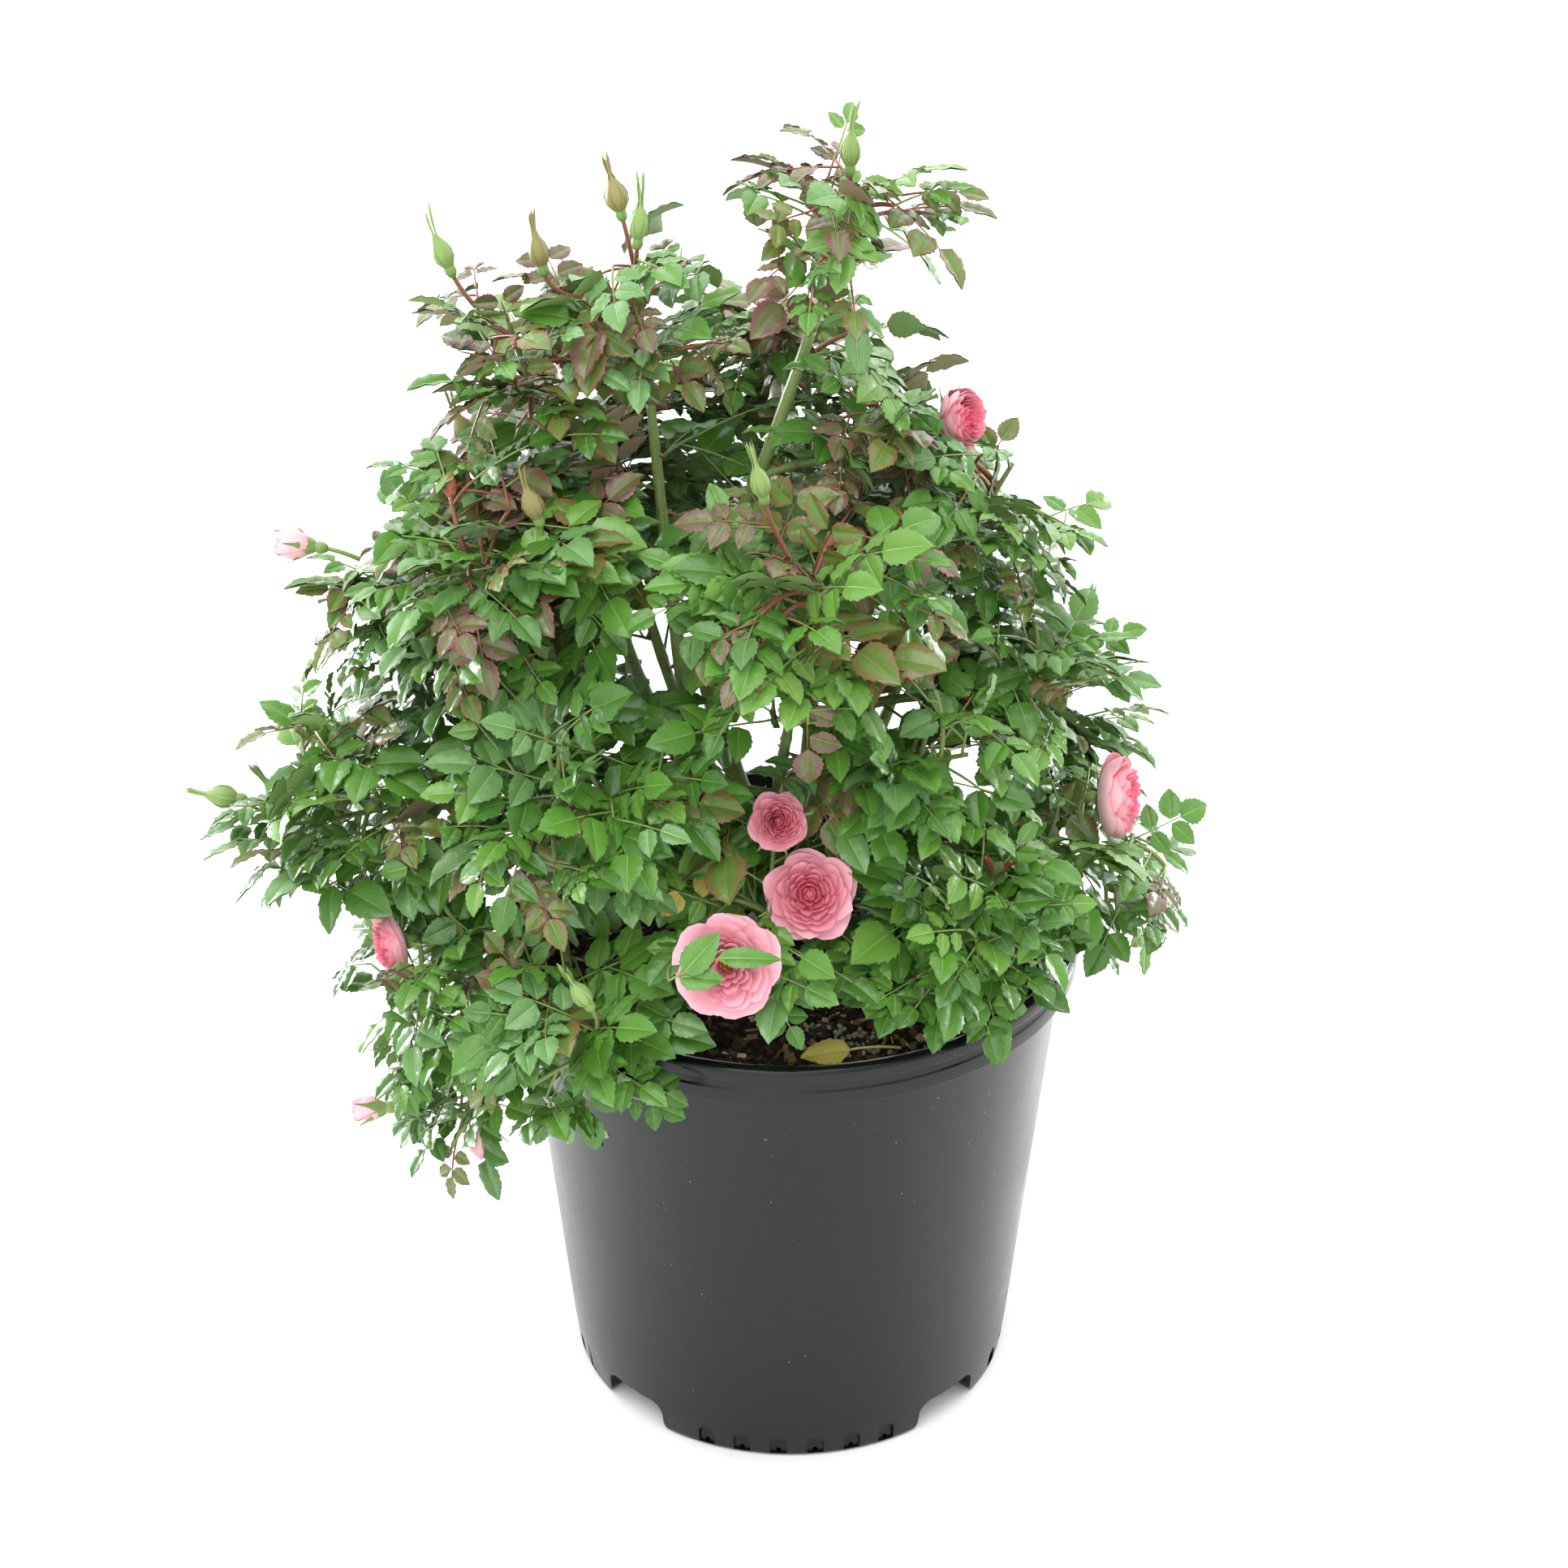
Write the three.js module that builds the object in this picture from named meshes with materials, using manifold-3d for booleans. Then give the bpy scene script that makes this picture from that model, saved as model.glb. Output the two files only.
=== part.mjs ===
// A patio rose bush in its black nursery pot: canes rise from a root collar in the potting mix, fork into
// boughs, and end in masses of leafy twigs with pink double blooms and long-pointed buds.
// Millimetres, +Z up, +X to the bush's right and +Y to its back. The origin is the middle of the pot's
// underside, which stands on the ground.

import * as THREE from "three";
import { mergeVertices } from "three/addons/utils/BufferGeometryUtils.js";
import Module from "manifold-3d";

const wasm = await Module();
wasm.setup();

const { degToRad } = THREE.MathUtils;
const CLEAR = 0.3; // between solids that touch on the real plant
const UP = new THREE.Vector3(0, 0, 1);

// ---- Solids ----------------------------------------------------------------------------------------

const point = ([x, y, z]) => new THREE.Vector3(x, y, z);

// A closed geometry with nothing but shared positions.
function bare(geometry) {
  geometry.deleteAttribute("normal");
  geometry.deleteAttribute("uv");
  return mergeVertices(geometry, 1e-3);
}

function solidOf(geometry) {
  const closed = bare(geometry);
  const mesh = new wasm.Mesh({
    numProp: 3,
    vertProperties: closed.attributes.position.array,
    triVerts: new Uint32Array(closed.index.array),
  });
  return new wasm.Manifold(mesh);
}

// The largest body of a solid. Loose scraps and the skins of sealed hollows are left behind.
function mainBody(solid) {
  return solid.decompose().reduce((a, b) => (b.volume() > a.volume() ? b : a));
}

function meshOf(name, solid, material) {
  const { numProp, vertProperties, triVerts } = solid.getMesh();
  const positions = new Float32Array((vertProperties.length / numProp) * 3);
  for (let i = 0; i < positions.length / 3; i++) {
    positions.set(vertProperties.subarray(i * numProp, i * numProp + 3), i * 3);
  }
  const geometry = new THREE.BufferGeometry();
  geometry.setAttribute("position", new THREE.BufferAttribute(positions, 3));
  geometry.setIndex(new THREE.BufferAttribute(triVerts, 1));
  geometry.computeVertexNormals();
  const mesh = new THREE.Mesh(geometry, material);
  mesh.name = name;
  return mesh;
}

// A solid of revolution about Z from [radius, height] pairs that run anticlockwise, axis to axis.
function turned(profile, segments) {
  const outline = profile.map(([radius, height]) => new THREE.Vector2(radius, height));
  return solidOf(new THREE.LatheGeometry(outline, segments).rotateX(Math.PI / 2));
}

// A limb: a cylinder bent along a curve, tapering from its foot to its tip.
function limb(curve, footRadius, tipRadius, sides, steps) {
  const geometry = bare(new THREE.CylinderGeometry(1, 1, 1, sides, steps));
  const frames = curve.computeFrenetFrames(steps, false);
  const position = geometry.attributes.position;
  for (let i = 0; i < position.count; i++) {
    const along = position.getY(i) + 0.5;
    const step = Math.round(along * steps);
    const radius = THREE.MathUtils.lerp(footRadius, tipRadius, along);
    const place = curve
      .getPointAt(along)
      .addScaledVector(frames.normals[step], position.getX(i) * radius)
      .addScaledVector(frames.binormals[step], -position.getZ(i) * radius);
    position.setXYZ(i, place.x, place.y, place.z);
  }
  return solidOf(geometry);
}

// ---- Pot -------------------------------------------------------------------------------------------

const POT = {
  height: 248,
  footRadius: 109.4,
  footChamfer: 3,
  wallTaper: 0.0978, // radius gained for each millimetre of height
  wall: 2,
  rimRadius: 140,
  lipHeight: 7, // the rolled lip on top of the rim
  lipWidth: 3.5,
  skirtBottom: 228, // the rim's skirt hangs outside the wall down to here
  skirtRadius: 138.6,
  segments: 40,
};
const ARCH = { count: 4, halfWidth: 19, height: 17, corner: 7, depth: 22 }; // between the pot's four feet
const SLOT = { perFoot: 6, pitchDegrees: 9.5, width: 9.5, bottom: 3.2, height: 9, corner: 3, depth: 16 };

const wallRadius = (height) => POT.footRadius + POT.wallTaper * height;

// A doorway shape, square below and with its upper corners taken off, run outwards along +X from a radius.
function doorway(halfWidth, bottom, height, corner, fromRadius, depth) {
  const top = bottom + height;
  const half = [
    [halfWidth, bottom],
    [halfWidth, top - corner],
    [halfWidth - corner, top],
  ];
  const mirrored = half.map(([x, y]) => [-x, y]).reverse();
  const outline = new THREE.Shape([...half, ...mirrored].map(([x, y]) => new THREE.Vector2(x, y)));
  const run = new THREE.ExtrudeGeometry(outline, { depth, bevelEnabled: false });
  run.rotateX(Math.PI / 2).rotateZ(Math.PI / 2).translate(fromRadius, 0, 0);
  return run;
}

const around = (geometry, degrees) => solidOf(geometry.clone().rotateZ(degToRad(degrees)));

// The drain arches, grown by a margin so that they also give the pot's and the mix's own walls round them.
function arches(margin) {
  const shape = doorway(
    ARCH.halfWidth + margin,
    -ARCH.height,
    2 * ARCH.height + margin,
    ARCH.corner,
    POT.footRadius - ARCH.depth - margin,
    2 * ARCH.depth,
  );
  const turns = Array.from({ length: ARCH.count }, (_, i) => ((i + 0.5) * 360) / ARCH.count);
  return wasm.Manifold.union(turns.map((degrees) => around(shape, degrees)));
}

// Small drain slots stand in a row in each foot.
function drainSlots() {
  const from = POT.footRadius - SLOT.depth / 2;
  const shape = doorway(SLOT.width / 2, SLOT.bottom, SLOT.height, SLOT.corner, from, SLOT.depth);
  const cuts = [];
  for (let foot = 0; foot < ARCH.count; foot++) {
    for (let i = 0; i < SLOT.perFoot; i++) {
      const offset = (i - (SLOT.perFoot - 1) / 2) * SLOT.pitchDegrees;
      cuts.push(around(shape, (foot * 360) / ARCH.count + offset));
    }
  }
  return wasm.Manifold.union(cuts);
}

// The wall runs up inside the skirt, meets it under the lip, and opens out to the lip's inner edge.
function pot() {
  const { height, footRadius, footChamfer, rimRadius, wall, lipWidth, skirtBottom, skirtRadius } = POT;
  const underLip = height - POT.lipHeight;
  const wallTop = underLip - 4;
  const body = turned(
    [
      [0, 0],
      [footRadius - footChamfer, 0],
      [footRadius, footChamfer],
      [wallRadius(wallTop), wallTop + 1],
      [skirtRadius - wall, wallTop + 1],
      [skirtRadius - wall, skirtBottom],
      [skirtRadius, skirtBottom],
      [skirtRadius, underLip - 1],
      [rimRadius, underLip],
      [rimRadius, height - 2.5],
      [rimRadius - lipWidth, height],
      [wallRadius(underLip) - wall, wallTop],
      [0, wallTop],
    ],
    POT.segments,
  );
  const inside = turned(
    [
      [0, wall],
      [wallRadius(wall) - wall - 1, wall],
      [wallRadius(2 * wall) - wall, 2 * wall],
      [wallRadius(underLip) - wall, wallTop],
      [wallRadius(underLip) - wall, height],
      [0, height],
    ],
    POT.segments,
  );
  const cavity = inside.subtract(arches(wall));
  return mainBody(body.subtract(arches(0)).subtract(cavity).subtract(drainSlots()));
}

// ---- Potting mix -----------------------------------------------------------------------------------

const MIX = { edgeHeight: 233, crownHeight: 239, flatRadius: 32, lump: 1.6, rings: 2 };

// Bark chips and grit make a low uneven mound, level where the canes come up.
function lumpiness(x, y) {
  const away = THREE.MathUtils.smoothstep(Math.hypot(x, y), MIX.flatRadius, MIX.flatRadius + 20);
  return MIX.lump * away * (Math.sin(x * 0.11 + 1) * Math.cos(y * 0.13) + 0.6 * Math.sin(x * 0.23 - y * 0.19));
}

// The mix fills the pot to just under its rim, a little clear of the wall all the way down.
function pottingMix() {
  const gap = CLEAR + POT.wall;
  const outer = wallRadius(MIX.edgeHeight) - gap;
  const profile = [
    [0, gap],
    [wallRadius(POT.wall) - gap - 1.3, gap],
    [wallRadius(2.5 * POT.wall) - gap, 2.5 * POT.wall],
    [outer, MIX.edgeHeight],
  ];
  for (let i = 1; i <= MIX.rings; i++) {
    const radius = THREE.MathUtils.lerp(outer, MIX.flatRadius * 0.9, i / MIX.rings);
    const rise = THREE.MathUtils.smoothstep(outer - radius, 0, outer - MIX.flatRadius);
    profile.push([radius, THREE.MathUtils.lerp(MIX.edgeHeight, MIX.crownHeight, rise)]);
  }
  profile.push([0, MIX.crownHeight]);
  const outline = profile.map(([radius, height]) => new THREE.Vector2(radius, height));
  const mound = new THREE.LatheGeometry(outline, POT.segments).rotateX(Math.PI / 2);
  const position = mound.attributes.position;
  for (let i = 0; i < position.count; i++) {
    const [x, y, z] = [position.getX(i), position.getY(i), position.getZ(i)];
    if (z > MIX.edgeHeight - 1 && Math.hypot(x, y) < outer - 1) position.setZ(i, z + lumpiness(x, y));
  }
  return mainBody(solidOf(mound).subtract(arches(gap)));
}

// ---- Masses of foliage: where each is, and the limb that carries it ----------------------------------

// at: the mass's middle; size: how far its leaves reach; on: its cane; from: how far along that cane its
// bough leaves, where 1 is a mass that the cane itself ends in.
const MASSES = [
  { name: "crown_top", at: [22, 0, 584], size: 68, on: "tall_cane", from: 1 },
  { name: "crown_shoulder_right", at: [34, -4, 494], size: 56, on: "tall_cane", from: 0.72 },
  { name: "crown_top_left", at: [-66, 4, 548], size: 64, on: "second_cane", from: 1 },
  { name: "left_shoulder_top", at: [-116, -4, 524], size: 66, on: "left_cane", from: 1 },
  { name: "left_shoulder", at: [-128, -42, 448], size: 74, on: "left_cane", from: 0.6 },
  { name: "left_flank", at: [-172, 22, 400], size: 68, on: "far_left_cane", from: 1 },
  { name: "left_skirt", at: [-206, -6, 306], size: 74, on: "far_left_cane", from: 0.58 },
  { name: "right_shoulder", at: [90, 14, 456], size: 64, on: "right_cane", from: 1 },
  { name: "right_flank", at: [106, -20, 378], size: 62, on: "right_cane", from: 0.62 },
  { name: "right_skirt", at: [146, -14, 290], size: 66, on: "low_right_cane", from: 1 },
  { name: "front_right_skirt", at: [76, -88, 290], size: 66, on: "low_right_cane", from: 0.45 },
  { name: "front_crown", at: [6, -78, 440], size: 76, on: "front_cane", from: 1 },
  { name: "front_left_middle", at: [-94, -80, 354], size: 78, on: "front_cane", from: 0.52 },
  { name: "front_right_middle", at: [60, -74, 372], size: 62, on: "front_cane", from: 0.66 },
  { name: "front_skirt", at: [-10, -104, 308], size: 66, on: "low_front_cane", from: 1 },
  { name: "front_left_skirt", at: [-94, -128, 262], size: 62, on: "low_left_cane", from: 0.62 },
  { name: "left_low_skirt", at: [-168, -66, 254], size: 70, on: "low_left_cane", from: 1 },
  { name: "left_hanging_shoot", at: [-152, -66, 178], size: 50, on: "low_left_cane", from: 0.86 },
  { name: "back_crown", at: [8, 84, 490], size: 76, on: "back_cane", from: 1 },
  { name: "back_left_middle", at: [-92, 88, 440], size: 78, on: "back_left_cane", from: 1 },
  { name: "back_left_skirt", at: [-138, 98, 328], size: 76, on: "back_left_cane", from: 0.5 },
  { name: "back_right_middle", at: [78, 90, 402], size: 68, on: "back_right_cane", from: 1 },
  { name: "back_right_skirt", at: [124, 84, 302], size: 62, on: "back_right_cane", from: 0.48 },
  { name: "back_middle", at: [-6, 118, 384], size: 70, on: "back_cane", from: 0.55 },
];
for (const mass of MASSES) mass.centre = point(mass.at);

// How far inside its own space a point lies. The spaces are parted by flat planes, one for each pair.
function depthInSpace(mass, place) {
  const own = place.distanceToSquared(mass.centre) - mass.size ** 2;
  return Math.min(
    ...MASSES.filter((other) => other !== mass).map((other) => {
      const theirs = place.distanceToSquared(other.centre) - other.size ** 2;
      return (theirs - own) / (2 * other.centre.distanceTo(mass.centre));
    }),
  );
}

const massAt = (place) =>
  MASSES.reduce((a, b) => {
    const [powerA, powerB] = [a, b].map((m) => place.distanceToSquared(m.centre) - m.size ** 2);
    return powerB < powerA ? b : a;
  });

// ---- Root collar, canes and boughs -------------------------------------------------------------------

const COLLAR = { height: 38, flareRadius: 21, topRadius: 12, lean: [-3, 2] };

// foot: where a cane leaves the collar; knees: where it turns on its way up; radius at its foot and tip.
const CANES = [
  { name: "tall_cane", foot: [-6, 3], knees: [[-35, 6, 350], [-40, 4, 405], [-12, 0, 482]], radius: [5.2, 2.4] },
  { name: "second_cane", foot: [-9, -3], knees: [[-44, -6, 345], [-56, 2, 430]], radius: [4.6, 2.1] },
  { name: "left_cane", foot: [-11, 6], knees: [[-58, 10, 335], [-88, -4, 430]], radius: [4.4, 2] },
  { name: "far_left_cane", foot: [-12, -7], knees: [[-84, 8, 318]], radius: [4.2, 2] },
  { name: "right_cane", foot: [4, -2], knees: [[20, -8, 340]], radius: [5.4, 2.2] },
  { name: "low_right_cane", foot: [7, -7], knees: [[50, -28, 296]], radius: [3.8, 2] },
  { name: "front_cane", foot: [-2, -9], knees: [[-6, -38, 330]], radius: [4.4, 2] },
  { name: "low_front_cane", foot: [0, -13], knees: [[-8, -42, 268]], radius: [3.2, 1.8] },
  { name: "low_left_cane", foot: [-9, -12], knees: [[-62, -52, 288], [-112, -72, 282]], radius: [4.2, 2] },
  { name: "back_cane", foot: [2, 9], knees: [[10, 42, 340]], radius: [4.6, 2.1] },
  { name: "back_left_cane", foot: [-7, 11], knees: [[-50, 50, 322]], radius: [4.4, 2] },
  { name: "back_right_cane", foot: [8, 7], knees: [[42, 46, 318]], radius: [4.4, 2] },
];

const GROUND = MIX.crownHeight + CLEAR;
const ENTRY = 0.62; // a limb ends this share of a mass's size short of its middle

function rootCollar() {
  const rings = [
    [0, 0],
    [COLLAR.flareRadius, 0],
    [COLLAR.flareRadius * 0.8, 5],
    [COLLAR.topRadius * 1.08, 14],
    [COLLAR.topRadius, 27],
    [COLLAR.topRadius * 0.8, 35],
    [0, COLLAR.height],
  ];
  const outline = rings.map(([radius, height]) => new THREE.Vector2(radius, height));
  const stump = new THREE.LatheGeometry(outline, 12).rotateX(Math.PI / 2);
  const position = stump.attributes.position;
  for (let i = 0; i < position.count; i++) {
    const [x, y, z] = [position.getX(i), position.getY(i), position.getZ(i)];
    const root = 1 + 0.12 * Math.cos(5 * Math.atan2(y, x)) * (1 - z / COLLAR.height);
    const share = z / COLLAR.height;
    position.setXYZ(i, x * root + COLLAR.lean[0] * share, y * root + COLLAR.lean[1] * share, z + GROUND);
  }
  return solidOf(stump);
}

// Where a limb on its way from a place to a mass ends, and its mass's stem takes over.
const entryTo = (mass, from) =>
  mass.centre.clone().addScaledVector(from.clone().sub(mass.centre).normalize(), mass.size * ENTRY);

function caneCurve(cane) {
  const mass = MASSES.find((m) => m.on === cane.name && m.from === 1);
  const foot = new THREE.Vector3(cane.foot[0], cane.foot[1], GROUND + COLLAR.height * 0.45);
  const knees = cane.knees.map(point);
  const stops = [foot, ...knees, entryTo(mass, knees.at(-1))];
  return new THREE.CatmullRomCurve3(stops, false, "catmullrom", 0.5);
}

for (const cane of CANES) cane.curve = caneCurve(cane);

// A bough leaves its cane upwards and bends over into its mass.
function boughCurve(mass) {
  const cane = CANES.find((c) => c.name === mass.on);
  const start = cane.curve.getPoint(mass.from);
  const end = entryTo(mass, start);
  const bend = start.clone().lerp(end, 0.5).addScaledVector(UP, 0.12 * start.distanceTo(end));
  return new THREE.QuadraticBezierCurve3(start, bend, end);
}

const BOUGH = { footRadius: 2.6, tipRadius: 1.9 };
for (const mass of MASSES) {
  mass.limb = mass.from === 1 ? CANES.find((c) => c.name === mass.on).curve : boughCurve(mass);
  mass.limbRadius = mass.from === 1 ? CANES.find((c) => c.name === mass.on).radius[1] : BOUGH.tipRadius;
}

// The collar a little larger all round.
function swollenCollar() {
  const wider = 1 + (2 * CLEAR) / COLLAR.flareRadius;
  const [leanX, leanY] = COLLAR.lean.map((lean) => lean / 2);
  return rootCollar()
    .translate([-leanX, -leanY, -GROUND])
    .scale([wider, wider, 1 + (2 * CLEAR) / COLLAR.height])
    .translate([leanX, leanY, GROUND]);
}

// Each limb by name, with its solid and the same a little thicker, which keeps the others off it.
function limbs() {
  const made = [{ name: "root_collar", solid: rootCollar(), swollen: swollenCollar() }];
  const grow = (name, curve, [foot, tip], steps) => {
    let solid = limb(curve, foot, tip, 5, steps);
    for (const other of made) solid = solid.subtract(other.swollen);
    const swollen = limb(curve, foot + CLEAR * 1.5, tip + CLEAR * 1.5, 5, steps);
    made.push({ name, solid: mainBody(solid), swollen });
  };
  for (const cane of CANES) grow(cane.name, cane.curve, cane.radius, 2 + 2 * cane.knees.length);
  for (const mass of MASSES.filter((m) => m.from < 1)) {
    grow(`${mass.name}_bough`, mass.limb, [BOUGH.footRadius, BOUGH.tipRadius], 2);
  }
  return made;
}

// ---- Blooms and buds ---------------------------------------------------------------------------------

// at: the flower's middle; faces: the way it opens; open: 1 a full bloom, 0.5 half open, 0 a bud.
const FLOWERS = [
  { at: [-6, -72, 338], faces: [0.1, -0.9, -0.1], open: 0.75 },
  { at: [8, -98, 315], faces: [0, -0.85, 0.5], open: 0.95 },
  { at: [-30, -143, 306], faces: [-0.1, -0.9, 0.42], open: 1 },
  { at: [153, -12, 317], faces: [0.95, -0.15, 0.1], open: 1 },
  { at: [88, 30, 499], faces: [0.85, 0.5, 0.05], open: 1 },
  { at: [-190, -60, 262], faces: [-0.9, -0.2, -0.3], open: 0.85 },
  { at: [-228, 20, 428], faces: [-0.95, 0, 0.15], open: 0.35 },
  { at: [-204, -62, 175], faces: [-0.95, 0, -0.1], open: 0.3 },
  { at: [-150, -72, 158], faces: [0, -0.2, -0.95], open: 0.4 },
  { at: [-60, 176, 372], faces: [-0.2, 0.95, 0.3], open: 1 },
  { at: [96, 158, 420], faces: [0.3, 0.9, 0.35], open: 0.9 },
  { at: [16, 150, 508], faces: [0, 0.75, 0.6], open: 0.85 },
  { at: [-158, 168, 300], faces: [-0.5, 0.8, 0.1], open: 0.6 },
  { at: [25, 0, 622], faces: [0, 0, 1], open: 0 },
  { at: [-74, 0, 596], faces: [-0.25, 0, 1], open: 0.1 },
  { at: [-63, -10, 590], faces: [0.1, 0, 1], open: 0 },
  { at: [-146, 0, 570], faces: [-0.35, 0, 0.9], open: 0 },
  { at: [-110, 0, 570], faces: [-0.2, 0, 1], open: 0 },
  { at: [-146, -6, 502], faces: [-0.35, 0, 0.9], open: 0 },
  { at: [-112, -64, 492], faces: [-0.3, -0.1, 1], open: 0.05 },
  { at: [-160, 34, 447], faces: [-0.2, 0.1, 1], open: 0.1 },
  { at: [-272, 2, 309], faces: [-0.98, 0, 0.12], open: 0.15 },
  { at: [-245, 2, 313], faces: [-0.6, 0, 0.8], open: 0 },
  { at: [-92, -160, 304], faces: [-0.4, -0.3, 0.9], open: 0 },
  { at: [-14, -86, 512], faces: [-0.2, -0.2, 1], open: 0 },
  { at: [142, 110, 350], faces: [0.6, 0.4, 0.8], open: 0 },
];
const BLOOM = { radius: 22, depth: 22, flattens: 6, petals: 10 };
const BUD = { length: 27, radius: 6, petals: 5 };
const isBloom = ({ open }) => open > 0.2;
const depthOf = (f) => (isBloom(f) ? BLOOM.depth - BLOOM.flattens * f.open : BUD.length);

// A double bloom is a lobed bowl of petals on its calyx, and a bud is a spindle drawn out to a point.
function flower(f) {
  const wide = THREE.MathUtils.lerp(BUD.radius, BLOOM.radius, f.open ** 0.8);
  const profile = isBloom(f)
    ? [[0, -0.5], [0.8, -0.15], [1, 0.3], [0.5, 0.5], [0, 0.38]]
    : [[0, -0.5], [1, -0.22], [0.6, 0.15], [0, 0.5]];
  const outline = profile.map(([radius, height]) => new THREE.Vector2(radius * wide, height * depthOf(f)));
  const petals = isBloom(f) ? BLOOM.petals : BUD.petals;
  const lobes = isBloom(f) ? 0.06 : 0;
  const shape = new THREE.LatheGeometry(outline, petals).rotateX(Math.PI / 2);
  const position = shape.attributes.position;
  for (let i = 0; i < position.count; i++) {
    const [x, y] = [position.getX(i), position.getY(i)];
    const lobe = 1 + lobes * Math.cos((petals / 2) * Math.atan2(y, x));
    position.setXY(i, x * lobe, y * lobe);
  }
  const turn = new THREE.Quaternion().setFromUnitVectors(UP, point(f.faces).normalize());
  shape.applyQuaternion(turn).translate(...f.at);
  return solidOf(shape);
}

// Where the flower's stalk joins it.
const calyx = (f) => point(f.at).addScaledVector(point(f.faces).normalize(), -0.42 * depthOf(f));

// ---- The growing rule --------------------------------------------------------------------------------

const GOLDEN = Math.PI * (3 - Math.sqrt(5)); // leaves and shoots follow each other round by this angle
const LEAF = {
  length: 66,
  width: 0.8, // of its length
  thickness: 1.3,
  spacing: 17, // along a twig
  foot: 6, // this much of it may cross other leaves where they crowd on the twig
  sunk: 0.3, // into the twig's middle
  tries: [[0, 1], [1, 0.9], [2, 0.9], [0, 0.75], [1, 0.75], [2, 0.75], [0, 0.6], [1, 0.6]], // [sides on, size]
};
const SHOOTS = {
  count: 5,
  room: 22, // left between a shoot's tip and how far its mass reaches
  wallRoom: 9, // and between its tip and the next mass's space
  shortest: 12,
};
const TWIG = { stemTip: 1.7, shoot: 1.3, tip: 1, bendsFrom: 34 }; // radii, and the length that bends

// The same numbers every time for the same seed.
function dice(seed) {
  let state = (seed * 7919 + 12345) % 4294967296;
  const roll = () => {
    state = (1664525 * state + 1013904223) % 4294967296;
    return state / 4294967296;
  };
  roll();
  roll();
  return roll;
}

const bow = (start, bend, end) => new THREE.QuadraticBezierCurve3(start, bend, end);

// The stem carries on from the limb, through the middle of the mass.
function stemOf(mass) {
  const heading = mass.limb.getTangent(1).normalize();
  const start = mass.limb.getPoint(1).addScaledVector(heading, CLEAR);
  const across = mass.centre.distanceTo(start);
  const axis = mass.centre.clone().sub(start).normalize();
  const end = mass.centre.clone().addScaledVector(axis, 0.4 * mass.size);
  return { curve: bow(start, start.clone().addScaledVector(heading, 0.6 * across), end), axis };
}

// How far a mass's own space goes on from its middle in a direction.
function roomTowards(mass, towards) {
  const walls = MASSES.filter((other) => other !== mass).map((other) => {
    const across = other.centre.clone().sub(mass.centre);
    const apart = across.length();
    const facing = towards.dot(across) / apart;
    const wall = (apart ** 2 - other.size ** 2 + mass.size ** 2) / (2 * apart);
    return facing > 0 ? wall / facing : Infinity;
  });
  return Math.min(mass.size - SHOOTS.room, ...walls.map((wall) => wall - SHOOTS.wallRoom));
}

// Side shoots follow one another up the stem and round it, the lowest leaning back and the highest
// reaching on. Flowering shoots come first.
function shootsOf(mass, stem, roll) {
  const found = FLOWERS.filter((f) => massAt(point(f.at)) === mass).map((f) => {
    const tip = calyx(f);
    const towards = tip.clone().sub(mass.centre).normalize();
    const start = spineAt(stem.curve, 0.6 + 0.3 * towards.dot(stem.axis));
    const opening = point(f.faces).normalize();
    const bend = tip.clone().addScaledVector(opening, -0.45 * start.distanceTo(tip));
    return { curve: bow(start, bend, tip), flower: f };
  });
  const guide = Math.abs(stem.axis.z) > 0.9 ? new THREE.Vector3(1, 0, 0) : UP;
  const side = new THREE.Vector3().crossVectors(stem.axis, guide).normalize();
  const over = new THREE.Vector3().crossVectors(side, stem.axis);
  for (let i = 0; i < SHOOTS.count; i++) {
    const share = (i + 0.5) / SHOOTS.count;
    const facing = 1.5 * share - 0.7;
    const angle = i * GOLDEN + 0.8 * roll();
    const flat = Math.sqrt(1 - facing * facing);
    const towards = stem.axis
      .clone()
      .multiplyScalar(facing)
      .addScaledVector(side, flat * Math.cos(angle))
      .addScaledVector(over, flat * Math.sin(angle));
    const reach = roomTowards(mass, towards) * (0.8 + 0.2 * roll());
    if (reach < SHOOTS.shortest) continue;
    const start = spineAt(stem.curve, 0.25 + 0.65 * share);
    const tip = mass.centre.clone().addScaledVector(towards, reach);
    const bend = start.clone().lerp(tip, 0.5).addScaledVector(stem.axis, 0.15 * reach).addScaledVector(UP, 4);
    found.push({ curve: bow(start, bend, tip) });
  }
  return found;
}

// A short twig is straight and a long one has a bend.
const stepsOf = (curve) => (curve.getLength() < TWIG.bendsFrom ? 1 : 2);

// The middle of a twig's solid, which runs straight between its rings.
function spineAt(curve, share) {
  const steps = stepsOf(curve);
  const ring = Math.min(Math.floor(share * steps), steps - 1);
  const [before, after] = [ring, ring + 1].map((i) => curve.getPointAt(i / steps));
  return before.lerp(after, share * steps - ring);
}

// The way a leaf grows out of one of its twig's three sides, and the way its upper face looks: up, out and
// a little at random.
function leafPose(curve, frames, share, side, size, tilt) {
  const ring = Math.round(share * stepsOf(curve));
  const angle = ((side + 0.5) * 2 * Math.PI) / 3;
  const radial = frames.normals[ring]
    .clone()
    .multiplyScalar(Math.sin(angle))
    .addScaledVector(frames.binormals[ring], -Math.cos(angle));
  const [ahead, aside] = share > 0.99 && size > 0.84 ? [1, 0.15] : [0.5, 0.85];
  const direction = curve
    .getTangentAt(share)
    .multiplyScalar(ahead)
    .addScaledVector(radial, aside)
    .normalize();
  const root = spineAt(curve, share);
  const outward = new THREE.Vector3(root.x, root.y, 0).normalize();
  const face = UP.clone().multiplyScalar(0.85).addScaledVector(outward, 0.5).add(tilt);
  const normal = face.addScaledVector(direction, -face.dot(direction)).normalize();
  return { root, direction, normal, length: LEAF.length * size };
}

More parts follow.
